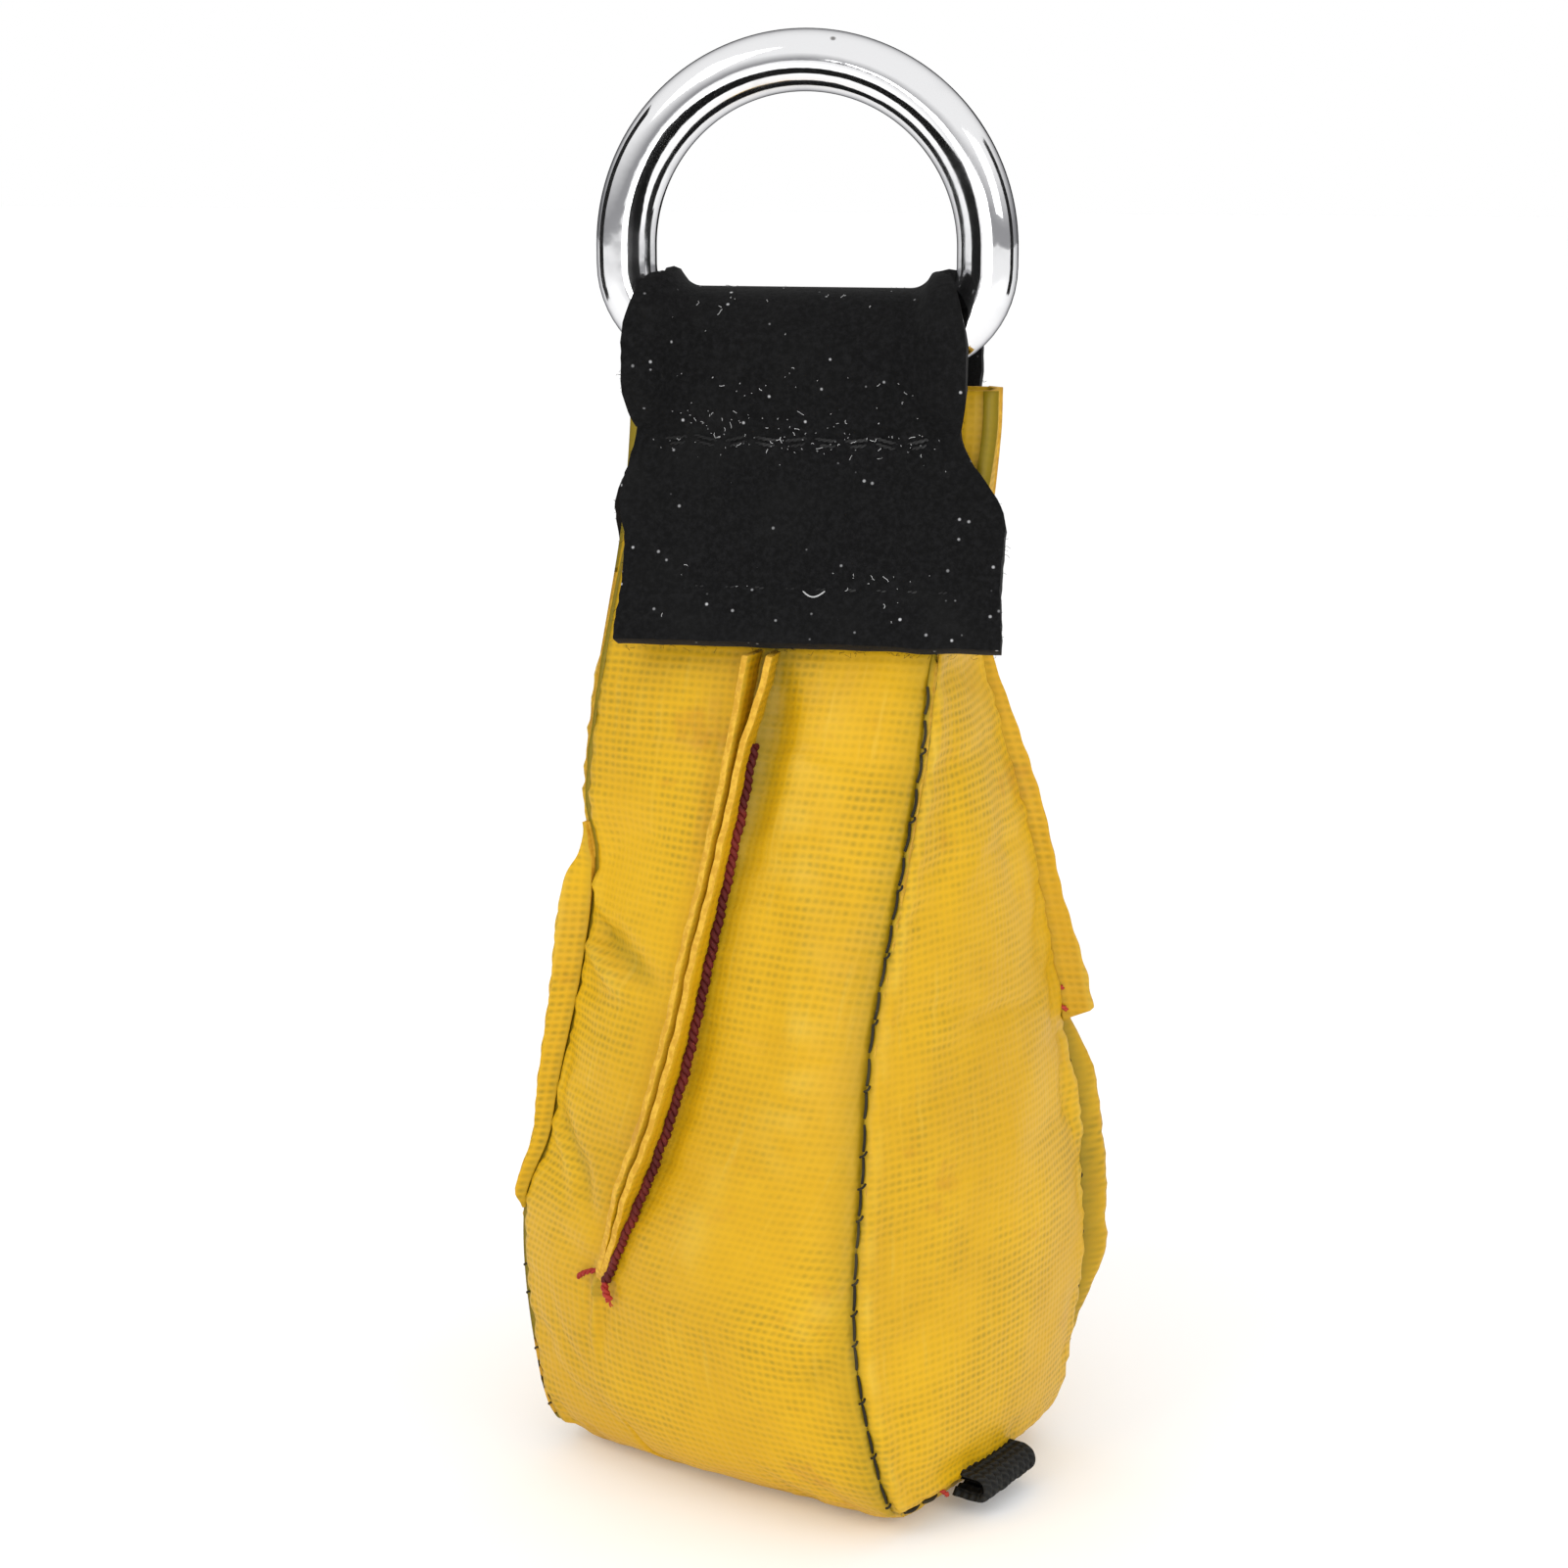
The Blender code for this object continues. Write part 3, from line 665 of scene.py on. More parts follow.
def shapeSkin(skin):
    seam, dart, bottom, flat = measureSkin(skin)
    sides = np.array([w[0] for w in skin.where])
    heights = np.array([w[2] if w[0] != 4 else 0.0 for w in skin.where])
    places = np.array([w[1] for w in skin.where])
    points = skin.points.copy()
    points += puffOut(skin, seam, dart, bottom, heights)
    normals = skin.normals(points)
    free = np.clip((bag["hem"] - heights) / 3.0, 0, 1)  # nothing stands out under the webbing
    edge = np.minimum(seam, bottom)
    onPanel = sides % 2 == 0
    groove = np.exp(-((edge / np.where(onPanel, 0.62, 0.42)) ** 2))
    lift = -bag["seamDepth"] * groove
    shoulder = np.exp(-(((edge - 1.5) / 0.9) ** 2)) * np.where(onPanel, 0.10, 0.28)
    beat = np.cos(2 * pi * (heights + 0.6 * np.sin(heights * 0.7)) / bag["stitchPitch"])
    side = np.where(sides == 4, 0.3, 1.0)
    pucker = bag["pucker"] * side * beat * np.exp(-seam / 1.9) * (1 - np.exp(-((seam / 0.5) ** 2)))
    dartOn = onPanel & (sides != 4) & (heights > bag["dartEnd"] - 1)
    away = np.abs(dart)
    rise = np.where(dartOn, np.exp(-((away / 0.85) ** 2)) * 0.35, 0)
    dip = np.where(dartOn, -0.22 * np.exp(-(((away - 1.9) / 0.9) ** 2)), 0)
    ticks = np.where(dartOn, 0.10 * beat * np.exp(-away / 1.6), 0)
    drift = np.array([noise.noise(Vector(p * 0.09)) * 0.35 + noise.noise(Vector(p * 0.23)) * 0.14
                      for p in points]) * np.clip(edge / 3, 0, 1)
    besideSeam = np.where((sides == front) & (places > 0.5), np.exp(-((seam / 2.6) ** 2)), 0)
    sunk = -0.55 * besideSeam * np.clip((heights - 24) / 12, 0, 1)
    lift = lift + (shoulder + pucker + rise + dip + ticks + drift + sunk) * free
    onBack = (sides == back) & (places < 0.5)
    roll = np.exp(-(((seam - 1.9) / 1.7) ** 2)) * (1 - np.exp(-((seam / 0.5) ** 2)))
    roll = np.where(onBack, roll * np.clip((heights - 8) / 12, 0, 1) * np.clip((49.5 - heights) / 9, 0, 1), 0)
    creased = layCreases(flat, sides)
    lift += creased * free * np.clip(edge / 0.4, 0.25, 1)
    lift = np.maximum(lift, -bag["deepest"])
    low = points[:, 2] < 1.2
    lift[low] = np.minimum(lift[low], 0) * np.where(np.abs(normals[low, 2]) > 0.8, 0, 1)
    points += normals * lift[:, None]
    for i in np.nonzero(roll > 0.02)[0]:  # the back's cloth rolls out over the back right seam
        points[i] += np.array(outwardAt(right, 1, heights[i])) * bag["rollOut"] * roll[i]
    points[:, 2] = np.maximum(points[:, 2], 0)
    # painted shade: seam grooves, the front beside the near seam, the fin's right side, the dart's foot and
    # deep creases are marked here for darkening toward olive
    hollow_shade = np.clip(0.95 * np.exp(-((edge / np.where(onPanel, 0.85, 0.45)) ** 2)), 0, 1)
    hollow_shade[sides == 4] *= 0.6
    hollow_shade = np.maximum(hollow_shade, 0.42 * besideSeam)
    besideFin = dartOn & (dart > 0)
    shade = np.exp(-((dart - 1.0) / 2.8) ** 2) * np.clip((heights - 44) / 34, 0, 1) * 0.80
    hollow_shade = np.maximum(hollow_shade, np.where(besideFin, shade, 0))
    hollow_shade = np.maximum(hollow_shade, np.where(dartOn, np.exp(-((away / 0.9) ** 2)) * 0.45, 0))
    hollow_shade = np.maximum(hollow_shade, np.clip(-creased - 0.35, 0, 1) * 0.5)
    # pale on raised crease ridges and the gussets' shoulders beside the seams: partly wear, partly painted
    # highlight
    wear_and_highlight = np.clip(creased, 0, 1) * 0.9 + np.where(
        onPanel, 0, np.exp(-(((seam - 1.3) / 0.5) ** 2)) * 0.35)
    wear_and_highlight *= np.array([0.5 + noise.noise(Vector(p * 0.35)) for p in points]).clip(0, 1)
    return points, {"hollow_shade": hollow_shade * np.clip((heights + 4) / 4, 0, 1), "wear_and_highlight": wear_and_highlight}


def panelPiece(skin, points, shadeAndWear, panel, name):
    chosen = [i for i, p in enumerate(skin.panel) if p == panel]
    faces = skin.faces[chosen]
    used, index = np.unique(faces, return_inverse=True)
    mesh = bpy.data.meshes.new(name)
    corners = index.reshape(-1, 4).tolist()
    mesh.from_pydata([tuple(p * mm) for p in points[used]], [], [tuple(f) for f in corners])
    weave = mesh.uv_layers.new(name="weave")
    weave.data.foreach_set("uv", [c for i in chosen for corner in skin.cloth[i] for c in corner])
    for label, values in shadeAndWear.items():
        layer = mesh.attributes.new(label, "FLOAT", "POINT")
        layer.data.foreach_set("value", values[used].astype(np.float32))
    for finish in (clothFinish, edgeFinish):
        mesh.materials.append(finish)
    made = bpy.data.objects.new(name, mesh)
    bpy.context.scene.collection.objects.link(made)
    mesh.polygons.foreach_set("use_smooth", [True] * len(mesh.polygons))
    finishWith(made, "SOLIDIFY", thickness=bag["cloth"] * mm, offset=-1, material_offset_rim=1)
    return made


skin = Skin()
print("bag grid: %d points, %d faces" % (len(skin.points), len(skin.faces)))
# the marks are painted shade in grooves and creases, and pale ridges that are partly wear and partly painted
# highlight
skinPoints, shadeAndWear = shapeSkin(skin)
nodes = ("main_panel", "right_gusset", "left_gusset")
panels = [panelPiece(skin, skinPoints, shadeAndWear, i, "bag_" + node) for i, node in enumerate(nodes)]
for piece, node in zip(panels, nodes):
    place(piece, "bag", None, [node])
print("bag shell made")


def strand(name, points, thickness, sides=6):
    curve = bpy.data.curves.new(name, "CURVE")
    curve.dimensions = "3D"
    curve.bevel_depth = thickness / 2 * mm
    curve.bevel_resolution = max(sides // 2 - 1, 0)
    curve.use_fill_caps = True
    spline = curve.splines.new("POLY")
    spline.points.add(len(points) - 1)
    for target, point in zip(spline.points, points):
        target.co = (*(Vector(point) * mm), 1)
    made = bpy.data.objects.new(name, curve)
    bpy.context.scene.collection.objects.link(made)
    pickOnly(made)
    bpy.ops.object.convert(target="MESH")
    bpy.ops.object.shade_smooth()
    return made


def twisted(name, path, thickness, lay, up, sides=5):
    turnsMade, strands = 0.0, []
    frames = []
    for i, point in enumerate(path):
        ahead = path[min(i + 1, len(path) - 1)] - path[max(i - 1, 0)]
        ahead.normalize()
        across = ahead.cross(up).normalized()
        frames.append((point, across, across.cross(ahead), turnsMade))
        if i + 1 < len(path):
            turnsMade += (path[i + 1] - point).length / lay * 2 * pi
    for phase in (0, pi):
        wound = [p + (a * cos(t + phase) + b * sin(t + phase)) * thickness * 0.26 for p, a, b, t in frames]
        strands.append(strand(name, wound, thickness * 0.58, sides))
    return strands


def walk(path, step):
    made, left = [path[0].copy()], step
    for start, end in zip(path, path[1:]):
        length = (end - start).length
        spot = left
        while spot < length:
            made.append(start.lerp(end, spot / length))
            spot += step
        left = spot - length
    return made


def onCorner(z):
    return 0.0


# Side that the dart starts from, its lower and upper end, height, place across, lean, side of its sewing
darts = {
    label: dict(zip(("side", "end", "top", "height", "where", "lean", "sewn"), values)) for label, values in (
        ("front", (front, 22.0, 87.4, 3.2, dartPlace, 0.25, 1)),
        ("back", (back, 22.0, 87.4, 3.2, dartPlace, -0.15, 1)),
        ("right", (back, 46.6, 87.4, 2.9, onCorner, 0.0, 1)),
        ("left", (front, 27.0, 68.5, 2.9, onCorner, 0.0, -1)),
    )
}


def finHeight(label, dart, z):
    up = z - dart["end"]
    if label == "right":  # tallest at its lower end, where it stops short
        share = 0.34 + 0.30 * smooth((87 - z) / 14) + 0.36 * smooth((62 - z) / 13)
        share *= smooth((up + 0.6) / 1.6)
    elif label == "left":
        share = (0.30 + 0.70 * min(up / 30, 1)) * smooth((dart["top"] - z) / 7) * smooth((up + 0.6) / 2)
    else:
        share = smooth(up / 16) * 0.72 + 0.28 * smooth((up + 0.5) / 3)
    return dart["height"] * share


def finFoot(dart, z):
    side, s = dart["side"], dart["where"](z)
    away = outwardAt(side, s, z)
    if dart is darts["left"]:  # folded back against the gusset above, standing out below
        bend = -radians(8 + 50 * smooth((z - 58) / 9))
        away = Vector((cos(bend) * away.x - sin(bend) * away.y, sin(bend) * away.x + cos(bend) * away.y, 0))
    return wallPoint(side, s, z), away, besideOf(away)


def makeDart(label, dart):
    tall = label in ("front", "back")
    top = dart["top"]
    layers = []
    for way in (-1, 1):
        layer = addGrid(7, 110)
        weave = []
        for vert in layer.data.vertices:
            u, v = vert.co.x + 0.5, vert.co.y + 0.5
            z = dart["end"] - 0.5 + (top - dart["end"] + 0.5) * v
            foot, away, beside = finFoot(dart, z)
            height = finHeight(label, dart, z)
            taper = min(height / dart["height"], 1)
            height *= 1 + 0.05 * noise.noise(Vector((z * 0.5, way * 3.0, 0))) + 0.03 * sin(z * 1.9 + way)
            height += (0.14 if way < 0 else 0) * taper
            splay = (0.40 + 0.42 * u**2 * taper) if way < 0 else (0.38 + 0.12 * u)
            splay *= 0.55 + 0.45 * taper
            if tall:  # it opens out where it meets the webbing
                splay += (0.9 - 0.3 * u if way > 0 else 0.5 * u) * smooth((z - 77) / 10)
            wander = 0.22 * noise.noise(Vector((z * 0.16, 7.0, dart["side"]))) * u
            wander += 0.05 * sin(2 * pi * z / bag["stitchPitch"]) * (1 - u)
            lean = dart["lean"] * u * dart["height"] * 0.4
            out = -0.35 + (height + 0.35) * u
            vert.co = (foot + away * out + beside * (way * splay + wander + lean)) * mm
            weave.append((u * height, z))
        layWeave(layer, weave)
        # painted shade darkens the fin's foot; its top edge is made pale, partly wear and partly painted
        # highlight
        finFootShadeLayer = layer.data.attributes.new("hollow_shade", "FLOAT", "POINT")
        finWearAndHighlightLayer = layer.data.attributes.new("wear_and_highlight", "FLOAT", "POINT")
        for i, (u, z) in enumerate(weave):
            share = u / max(dart["height"], 1)
            finFootShadeLayer.data[i].value = max(0.35 - share * 1.2, 0)
            finWearAndHighlightLayer.data[i].value = max(share - 0.75, 0) * 1.2
        for finish in (clothFinish, edgeFinish):
            layer.data.materials.append(finish)
        bpy.ops.object.shade_smooth()
        finishWith(layer, "SOLIDIFY", thickness=0.66 * mm, offset=0, material_offset_rim=1)
        finishWith(layer, "BEVEL", width=0.10 * mm, segments=2, limit_method="ANGLE", angle_limit=radians(50))
        layers.append(layer)
    fin = joinAll(layers, label + "_dart_fin")
    fixNormals(fin)
    place(fin, "bag", None, [label + "_dart"])


for label, dart in darts.items():
    makeDart(label, dart)
print("darts made")


def dartSewing(label, dart):
    low, top = dart["end"] + 1.2, dart["top"] - 0.6
    if label == "front":
        top = 78.5
    cord = []
    z = top
    while z > low:
        foot, away, beside = finFoot(dart, z)
        grow = smooth((top - z) / 30)
        dip = 0.20 * (0.5 + 0.5 * cos(2 * pi * z / bag["stitchPitch"]))
        wander = 0.12 * noise.noise(Vector((z * 0.4, 1.0, 5.0)))
        out = 0.62 + 0.10 * grow - dip
        cord.append(foot + away * out + beside * dart["sewn"] * (1.02 + 0.22 * grow + wander))
        z -= 0.22
    thickness = 1.05 if label in ("front", "back") else 0.6
    pieces = twisted(label + "Cord", cord, thickness, 1.7, outwardAt(dart["side"], dart["where"](50), 50))
    sewn = joinAll(pieces, label + "_dart_sewing")
    place(sewn, "bag", maroonThread, [label + "_dart_thread"])
    if label not in ("front", "back"):
        return
    # short stitches that show on the other side of the fin, and the two cut tails at its lower end
    marksMade = []
    for start, end in ((86.9, 84.9), (82.6, 81.3), (77.5, 76.4), (70.2, 69.0)):
        path = []
        for i in range(8):
            z = start + (end - start) * i / 7
            foot, away, beside = finFoot(dart, z)
            path.append(foot + away * (0.42 + 0.30 * sin(pi * i / 7)) - beside * (1.05 + 0.10 * i / 7))
        marksMade += twisted(label + "Dash", walk(path, 0.2), 0.55, 1.2, away)
    dashes = joinAll(marksMade, label + "_dart_dashes")
    place(dashes, "bag", maroonThread)
    tails = []
    foot, away, beside = finFoot(dart, low)
    down = Vector((0, 0, -1))
    steps = np.linspace(0, 1, 12)
    rightTail = [foot + away * (0.70 + 0.25 * sin(t * 2.6)) + beside * (1.2 + 0.75 * t * t)
                 + down * (2.0 * t - 0.3) for t in steps]
    tails += twisted(label + "Tail", walk(rightTail, 0.2), 0.8, 1.3, away)
    start, _, _ = finFoot(dart, low + 1.4)
    leftTail = [start + away * (0.60 + 0.35 * sin(t * 3.0)) - beside * (0.9 + 2.9 * t)
                + down * (0.6 + 1.5 * t**1.5) for t in steps]
    tails += twisted(label + "Tail", walk(leftTail, 0.2), 0.6, 1.3, away)
    for way, spread in ((1, 0.5), (-1, 0.4), (0.3, 0.7)):
        tip = rightTail[-1]
        tails.append(strand(label + "Fray", [tip, tip + beside * way * 0.3 + down * spread * 0.6 + away * 0.1,
                                             tip + beside * way * 0.5 + down * spread], 0.16, 4))
    ends = joinAll(tails, label + "_dart_tails")
    place(ends, "bag", brightThread)


for label, dart in darts.items():
    dartSewing(label, dart)


seamSewing = {"low": 4.6, "thread": 0.30, "stitch": 2.5, "bridge": 0.8}
seams = (("front_right", 1, 86.0), ("back_left", 3, 86.0), ("back_right", 2, 45.5), ("front_left", 0, 25.5))


def seamPlace(corner, z):
    edge = wallPoint(corner, 0, z)
    away = (edge - turned(0, 0, z)).normalized()
    return edge, away, besideOf(away)


def stitchSeam(label, corner, top):
    pieces = []
    z, count = seamSewing["low"], 0
    while z < top - seamSewing["stitch"]:
        wobble = noise.noise(Vector((z * 1.3, corner, 2.0)))
        path = []
        for i in range(7):
            t = i / 6
            edge, away, beside = seamPlace(corner, z + seamSewing["stitch"] * t)
            path.append(edge + away * (-0.66 + 0.30 * sin(pi * t) + 0.08 * wobble) + beside * (0.12 * wobble))
        pieces.append(strand(label + "Stitch", path, seamSewing["thread"], 4))
        edge, away, beside = seamPlace(corner, z - 0.25)
        if count % 2 == 0 or wobble > 0.1:  # a knot of thread bridges the seam between two stitches
            reach = seamSewing["bridge"] * (0.30 + 0.3 * abs(wobble))
            bridge = [edge + beside * reach * t + away * (-0.42 + 0.30 * (1 - t * t))
                      + Vector((0, 0, 0.25 * t)) for t in (-1, -0.5, 0, 0.5, 1)]
            pieces.append(strand(label + "Knot", bridge, 0.26, 4))
        z += bag["stitchPitch"]
        count += 1
    seam = joinAll(pieces, label + "_seam_stitches")
    place(seam, "bag", darkThread, [label + "_thread"])


for label, corner, top in seams:
    stitchSeam(label, corner, top)


def bottomStitches(label, side, start, end):
    pieces = []
    s, length = start, sideLength(side, bag["seamLift"])
    while s < end:
        path = []
        for i in range(6):
            t = i / 5
            along = min(s + 2.3 / length * t, 0.985)
            edge = wallPoint(side, along, bag["seamLift"])
            away = outwardAt(side, min(max(along, 0.01), 0.98), bag["seamLift"])
            path.append(edge + away * (-0.30 + 0.30 * sin(pi * t)) + Vector((0, 0, 0.10)))
        pieces.append(strand(label, path, 0.42, 4))
        s += bag["stitchPitch"] / length
    return joinAll(pieces, label + "_bottom_stitches")


for label, side, end in (("right", right, 0.22), ("left", left, 0.93)):
    row = bottomStitches(label, side, 0.04, end)
    place(row, "bag", darkThread, [label + "_bottom_thread"])
print("seams sewn")


web = {
    "thick": 2.2, "hem": 87.8, "hemWidth": 38.0, "waist": 108.6, "waistWidth": 32.0, "bar": 116.6,
    "wire": 6.0, "flare": 16.9, "fold": 14.5, "bend": 4.6, "upperRow": 107.6, "lowerRow": 93.6,
    "ragged": 0.16, "fibres": 230, "lint": 420,
    "drift": 2.1,  # the front hem hangs to the right of the bar, and the back hem to the left
}


def neckReach(side, z):
    return max(abs(wallPoint(side, s, z).y) for s in np.linspace(0, 1, 21))


reachMade = {}


def legReach(side, x, z):
    key = (side, round(z, 3))
    if key not in reachMade:
        reachMade[key] = neckReach(side, min(z, bag["mouth"])) + bag["gap"]
    onNeck = reachMade[key]
    climb = smooth((z - web["waist"]) / (web["bar"] - web["wire"] / 2 - web["waist"]))
    return onNeck + (tunnelReach(x) - onNeck) * climb


def tunnelReach(x):
    past = min(max(abs(x) - 10.4, 0), 4.15)
    return web["wire"] / 2 + bag["gap"] + web["bend"] - sqrt(web["bend"] ** 2 - past**2)


def webHalfWidth(z, side):
    flare = smooth((web["waist"] - z) / 9.0)
    width = web["waistWidth"] / 2 + (web["hemWidth"] - web["waistWidth"]) / 2 * flare
    if z < 100:
        width -= 0.35 * smooth((100 - z) / 4) * smooth((z - 89) / 4)
    return width + (web["flare"] - web["waistWidth"] / 2) * smooth((z - web["waist"]) / 5)


def webDrift(side, z):
    return web["drift"] * smooth((web["waist"] - z) / 12) * (1 if side == front else -1)


def makeWebbing():
    legHeights = list(np.linspace(web["hem"], web["bar"] - 0.4, 44))
    turn = 26
    rows = 2 * len(legHeights) + turn - 1
    columns = 56
    strap = addGrid(columns, rows)
    for vert in strap.data.vertices:
        u, row = 2 * vert.co.x, round((vert.co.y + 0.5) * rows)
        rag = web["ragged"] * noise.noise(Vector((row * 0.9, u * 2.0, 4.0))) * abs(u) ** 8
        if row < len(legHeights) or row > rows - len(legHeights):
            onFront = row < len(legHeights)
            z = legHeights[row] if onFront else legHeights[rows - row]
            side, way = (front, -1) if onFront else (back, 1)
            x = u * (webHalfWidth(z, side) + rag)
            low = z - 0.22 * smooth((92 - z) / 3) * noise.noise(Vector((x * 0.22, way * 4.0, 0)))
            out = legReach(side, x, z) + 0.18 * noise.noise(Vector((x * 0.13, z * 0.13, way * 2.0)))
            for height in (web["upperRow"], web["lowerRow"]):  # the sewing pulls the webbing in
                out -= 0.30 * np.exp(-(((z - height) / 1.1) ** 2)) * smooth((14.5 - abs(x)) / 1.5)
            out += 0.45 * np.exp(-(((z - 100.5) / 4.0) ** 2)) * (1 - u * u)
            out = max(out, legReach(side, x, z) - 0.27)
            vert.co = Vector((x + webDrift(side, z), way * out, low)) * mm
        else:
            angle = pi * (row - len(legHeights) + 0.5) / turn
            half = web["fold"] + (web["flare"] - web["fold"]) * cos(angle) ** 2
            x = u * (half + rag)
            reach = tunnelReach(x)
            vert.co = Vector((x, -reach * cos(angle), web["bar"] + reach * sin(angle))) * mm
    bpy.ops.object.shade_smooth()
    finishWith(strap, "SOLIDIFY", thickness=web["thick"] * mm, offset=1)
    fixNormals(strap)
    finishWith(strap, "BEVEL", width=0.45 * mm, segments=3, limit_method="ANGLE", angle_limit=radians(50))
    strap.name = "strap_webbing"
    strap.data.uv_layers[0].name = "weave"
    return strap


def strapSurface(side, x, z, raised=0.0):
    way = -1 if side == front else 1
    out = legReach(side, x, z) + web["thick"] * 1.02 + raised
    if z > web["waist"]:
        out += 0.15
    return Vector((x + webDrift(side, z), way * out, z))


place(makeWebbing(), "bag", webFinish, ["strap_web"])
print("webbing made")


def webFuzz():
    rng = np.random.default_rng(7)
    hairs = []
    for _ in range(web["fibres"]):  # loose fibres along the edges and the hem
        side = front if rng.random() < 0.6 else back
        way = -1 if side == front else 1
        z = web["hem"] + rng.random() * 27
        sign = 1 if rng.random() < 0.5 else -1
        x = sign * (webHalfWidth(z, side) - 0.1)
        if rng.random() < 0.4:
            z, x = web["hem"] + 0.1, (rng.random() * 2 - 1) * 18.5
        start = strapSurface(side, x, z, -rng.random() * 1.8)
        push = Vector((sign * rng.random(), way * rng.random() * 0.5, rng.random() - 0.65)) * 0.7
        bend = Vector(rng.normal(0, 0.16, 3))
        hairs.append(strand("hair", [start, start + push * 0.5 + bend, start + push], 0.035, 3))
    return joinAll(hairs, "strap_edge_fibres")


def webLint():
    rng = np.random.default_rng(21)
    bits = []
    for i in range(web["lint"]):
        side = front if i % 3 else back
        z = web["hem"] + 1.5 + rng.random() * 29.5
        x = (rng.random() * 2 - 1) * 14.5
        if i % 4 == 0:
            z = web["upperRow"] + rng.normal(0, 0.8)
        if z < web["bar"] - 2:
            spot, normal = strapSurface(side, x, z, 0.03), Vector((0, -1 if side == front else 1, 0))
        else:
            angle = (z - web["bar"] + 2) / 4 * pi / 2
            reach = tunnelReach(x) + web["thick"] + 0.03
            way = -1 if side == front else 1
            normal = Vector((0, way * cos(angle), sin(angle)))
            spot = Vector((x, 0, web["bar"])) + normal * reach
        across = Vector((1, 0, 0))
        up = normal.cross(across)
        heading = rng.random() * 2 * pi
        path, step = [spot], 0.03 + rng.random() ** 4 * 0.26
        for _ in range(3):
            heading += rng.normal(0, 0.75)
            onward = (across * cos(heading) + up * sin(heading)) * step
            path.append(path[-1] + onward + normal * rng.random() * 0.03)
        bits.append(strand("lint", path, 0.055, 3))
    return joinAll(bits, "strap_lint")


place(webFuzz(), "bag", webFinish)
place(webLint(), "bag", lintAndGlintFinish)


def sewRow(label, side, height, start, end, zigzag, legDown=False):
    pieces, x, count = [], start, 0
    while x < end:
        lift = 0.25 * noise.noise(Vector((x * 0.4, height, side))) + (zigzag if count % 2 else -zigzag)
        for row in (0, 0.55) if zigzag else (0,):
            path = []
            for t in np.arange(8) / 7:
                path.append(strapSurface(side, x + 2.5 * t, height + lift * (1 - 2 * t) - row,
                                         -0.42 + 0.36 * sin(pi * t)))
            pieces += twisted(label, walk(path, 0.3), 0.42, 1.1, Vector((0, -1, 0.01)), 4)
        x += 3.0
        count += 1
    if legDown:
        path = [strapSurface(side, end + 0.25 * sin(t * 3), height - 2.6 * t, -0.30 + 0.25 * sin(pi * t))
                for t in np.linspace(0, 1, 10)]
        pieces += twisted(label, walk(path, 0.3), 0.42, 1.1, Vector((0, -1, 0.01)), 4)
    return joinAll(pieces, label)


for side, word in ((front, "front"), (back, "back")):
    upper = sewRow(word + "_upper_sewing", side, web["upperRow"], -13.3, 12.4, 0.22)
    place(upper, "bag", blackThread, [word + "_upper_stitches"])
    lower = sewRow(word + "_lower_sewing", side, web["lowerRow"], -12.0, 13.2, 0.0, legDown=True)
    place(lower, "bag", blackThread, [word + "_lower_stitches"])

# one loop of nylon thread stands up in the lower row, coloured white as a painted glint
glint = [strapSurface(front, -0.6 + 2.2 * t, web["lowerRow"] - 0.1 - 0.5 * sin(pi * t),
                      0.02 + 0.25 * sin(pi * t)) for t in np.linspace(0, 1, 10)]
place(strand("strap_glint_loop", glint, 0.16, 5), "bag", lintAndGlintFinish)
print("webbing sewn")


tab = {"width": 10.0, "reach": 3.9, "thick": 2.8, "ribs": 9, "rib": 0.30, "place": 0.46}


def makeTab():
    half, nose = tab["width"] / 2, tab["thick"] / 2
    middle = wallPoint(right, tab["place"], bag["seamLift"])
    away = outwardAt(right, tab["place"], bag["seamLift"])
    along = besideOf(away)
    root = middle + away * 0.5 + Vector((0, 0, 0.25))
    made = addGrid(72, 40)
    straight, arc = tab["reach"] - nose, pi * nose
    total = 2 * straight + arc
    weave = []
    for vert in made.data.vertices:
        u, run = vert.co.x * 2, (vert.co.y + 0.5) * total
        rib = tab["rib"] * abs(cos(pi * tab["ribs"] / 2 * u)) ** 0.7
        radius = nose - tab["rib"] * 0.6 + rib
        if run < straight:
            spot = root + away * (run - 0.6) + Vector((0, 0, -radius))
        elif run > straight + arc:
            spot = root + away * (total - run - 0.6) + Vector((0, 0, radius))
        else:
            angle = (run - straight) / arc * pi - pi / 2
            stretch = radius + 0.25 * noise.noise(Vector((u * 6, 3.0, 1.0)))
            spot = root + away * (straight - 0.6 + stretch * cos(angle)) + Vector((0, 0, radius * sin(angle)))
        edge = abs(u) ** 14 * 0.35
        uneven = Vector((0, 0, 0.12 * noise.noise(spot)))
        spot += along * (u * half * (1 - 0.02 * rib)) + away * (-edge * 0.8) + uneven
        vert.co = spot * mm
        weave.append((u * half, run))
    layWeave(made, weave)
    bpy.ops.object.shade_smooth()
    finishWith(made, "SOLIDIFY", thickness=1.0 * mm, offset=-1)
    made.name = "bottom_ribbed_tab"
    return made


place(makeTab(), "bag", knitFinish, ["bottom_tab"])


def redKnots():
    pieces = []
    for side, s, z, drop in ((right, 0.235, 3.3, 0.9), (right, 0.985, 50.0, 0.7), (right, 0.985, 47.8, 0.9)):
        edge, away = wallPoint(side, s, z), outwardAt(side, min(s, 0.97), z)
        beside = besideOf(away)
        path = [edge + away * (0.15 + 0.35 * sin(pi * t)) + beside * (1.1 * t - 0.5)
                + Vector((0, 0, -drop * t)) for t in np.linspace(0, 1, 9)]
        pieces += twisted("redKnot", walk(path, 0.2), 0.5, 1.0, away, 4)
    return joinAll(pieces, "red_thread_ends")


place(redKnots(), "bag", brightThread)
print("tab made")


ring = {
    "wire": 6.0, "sides": 36, "bow": 18.0, "bend": 7.6, "arm": 1.7, "axis": 116.6,
    "cornerSteps": 14, "bowSteps": 96,
}


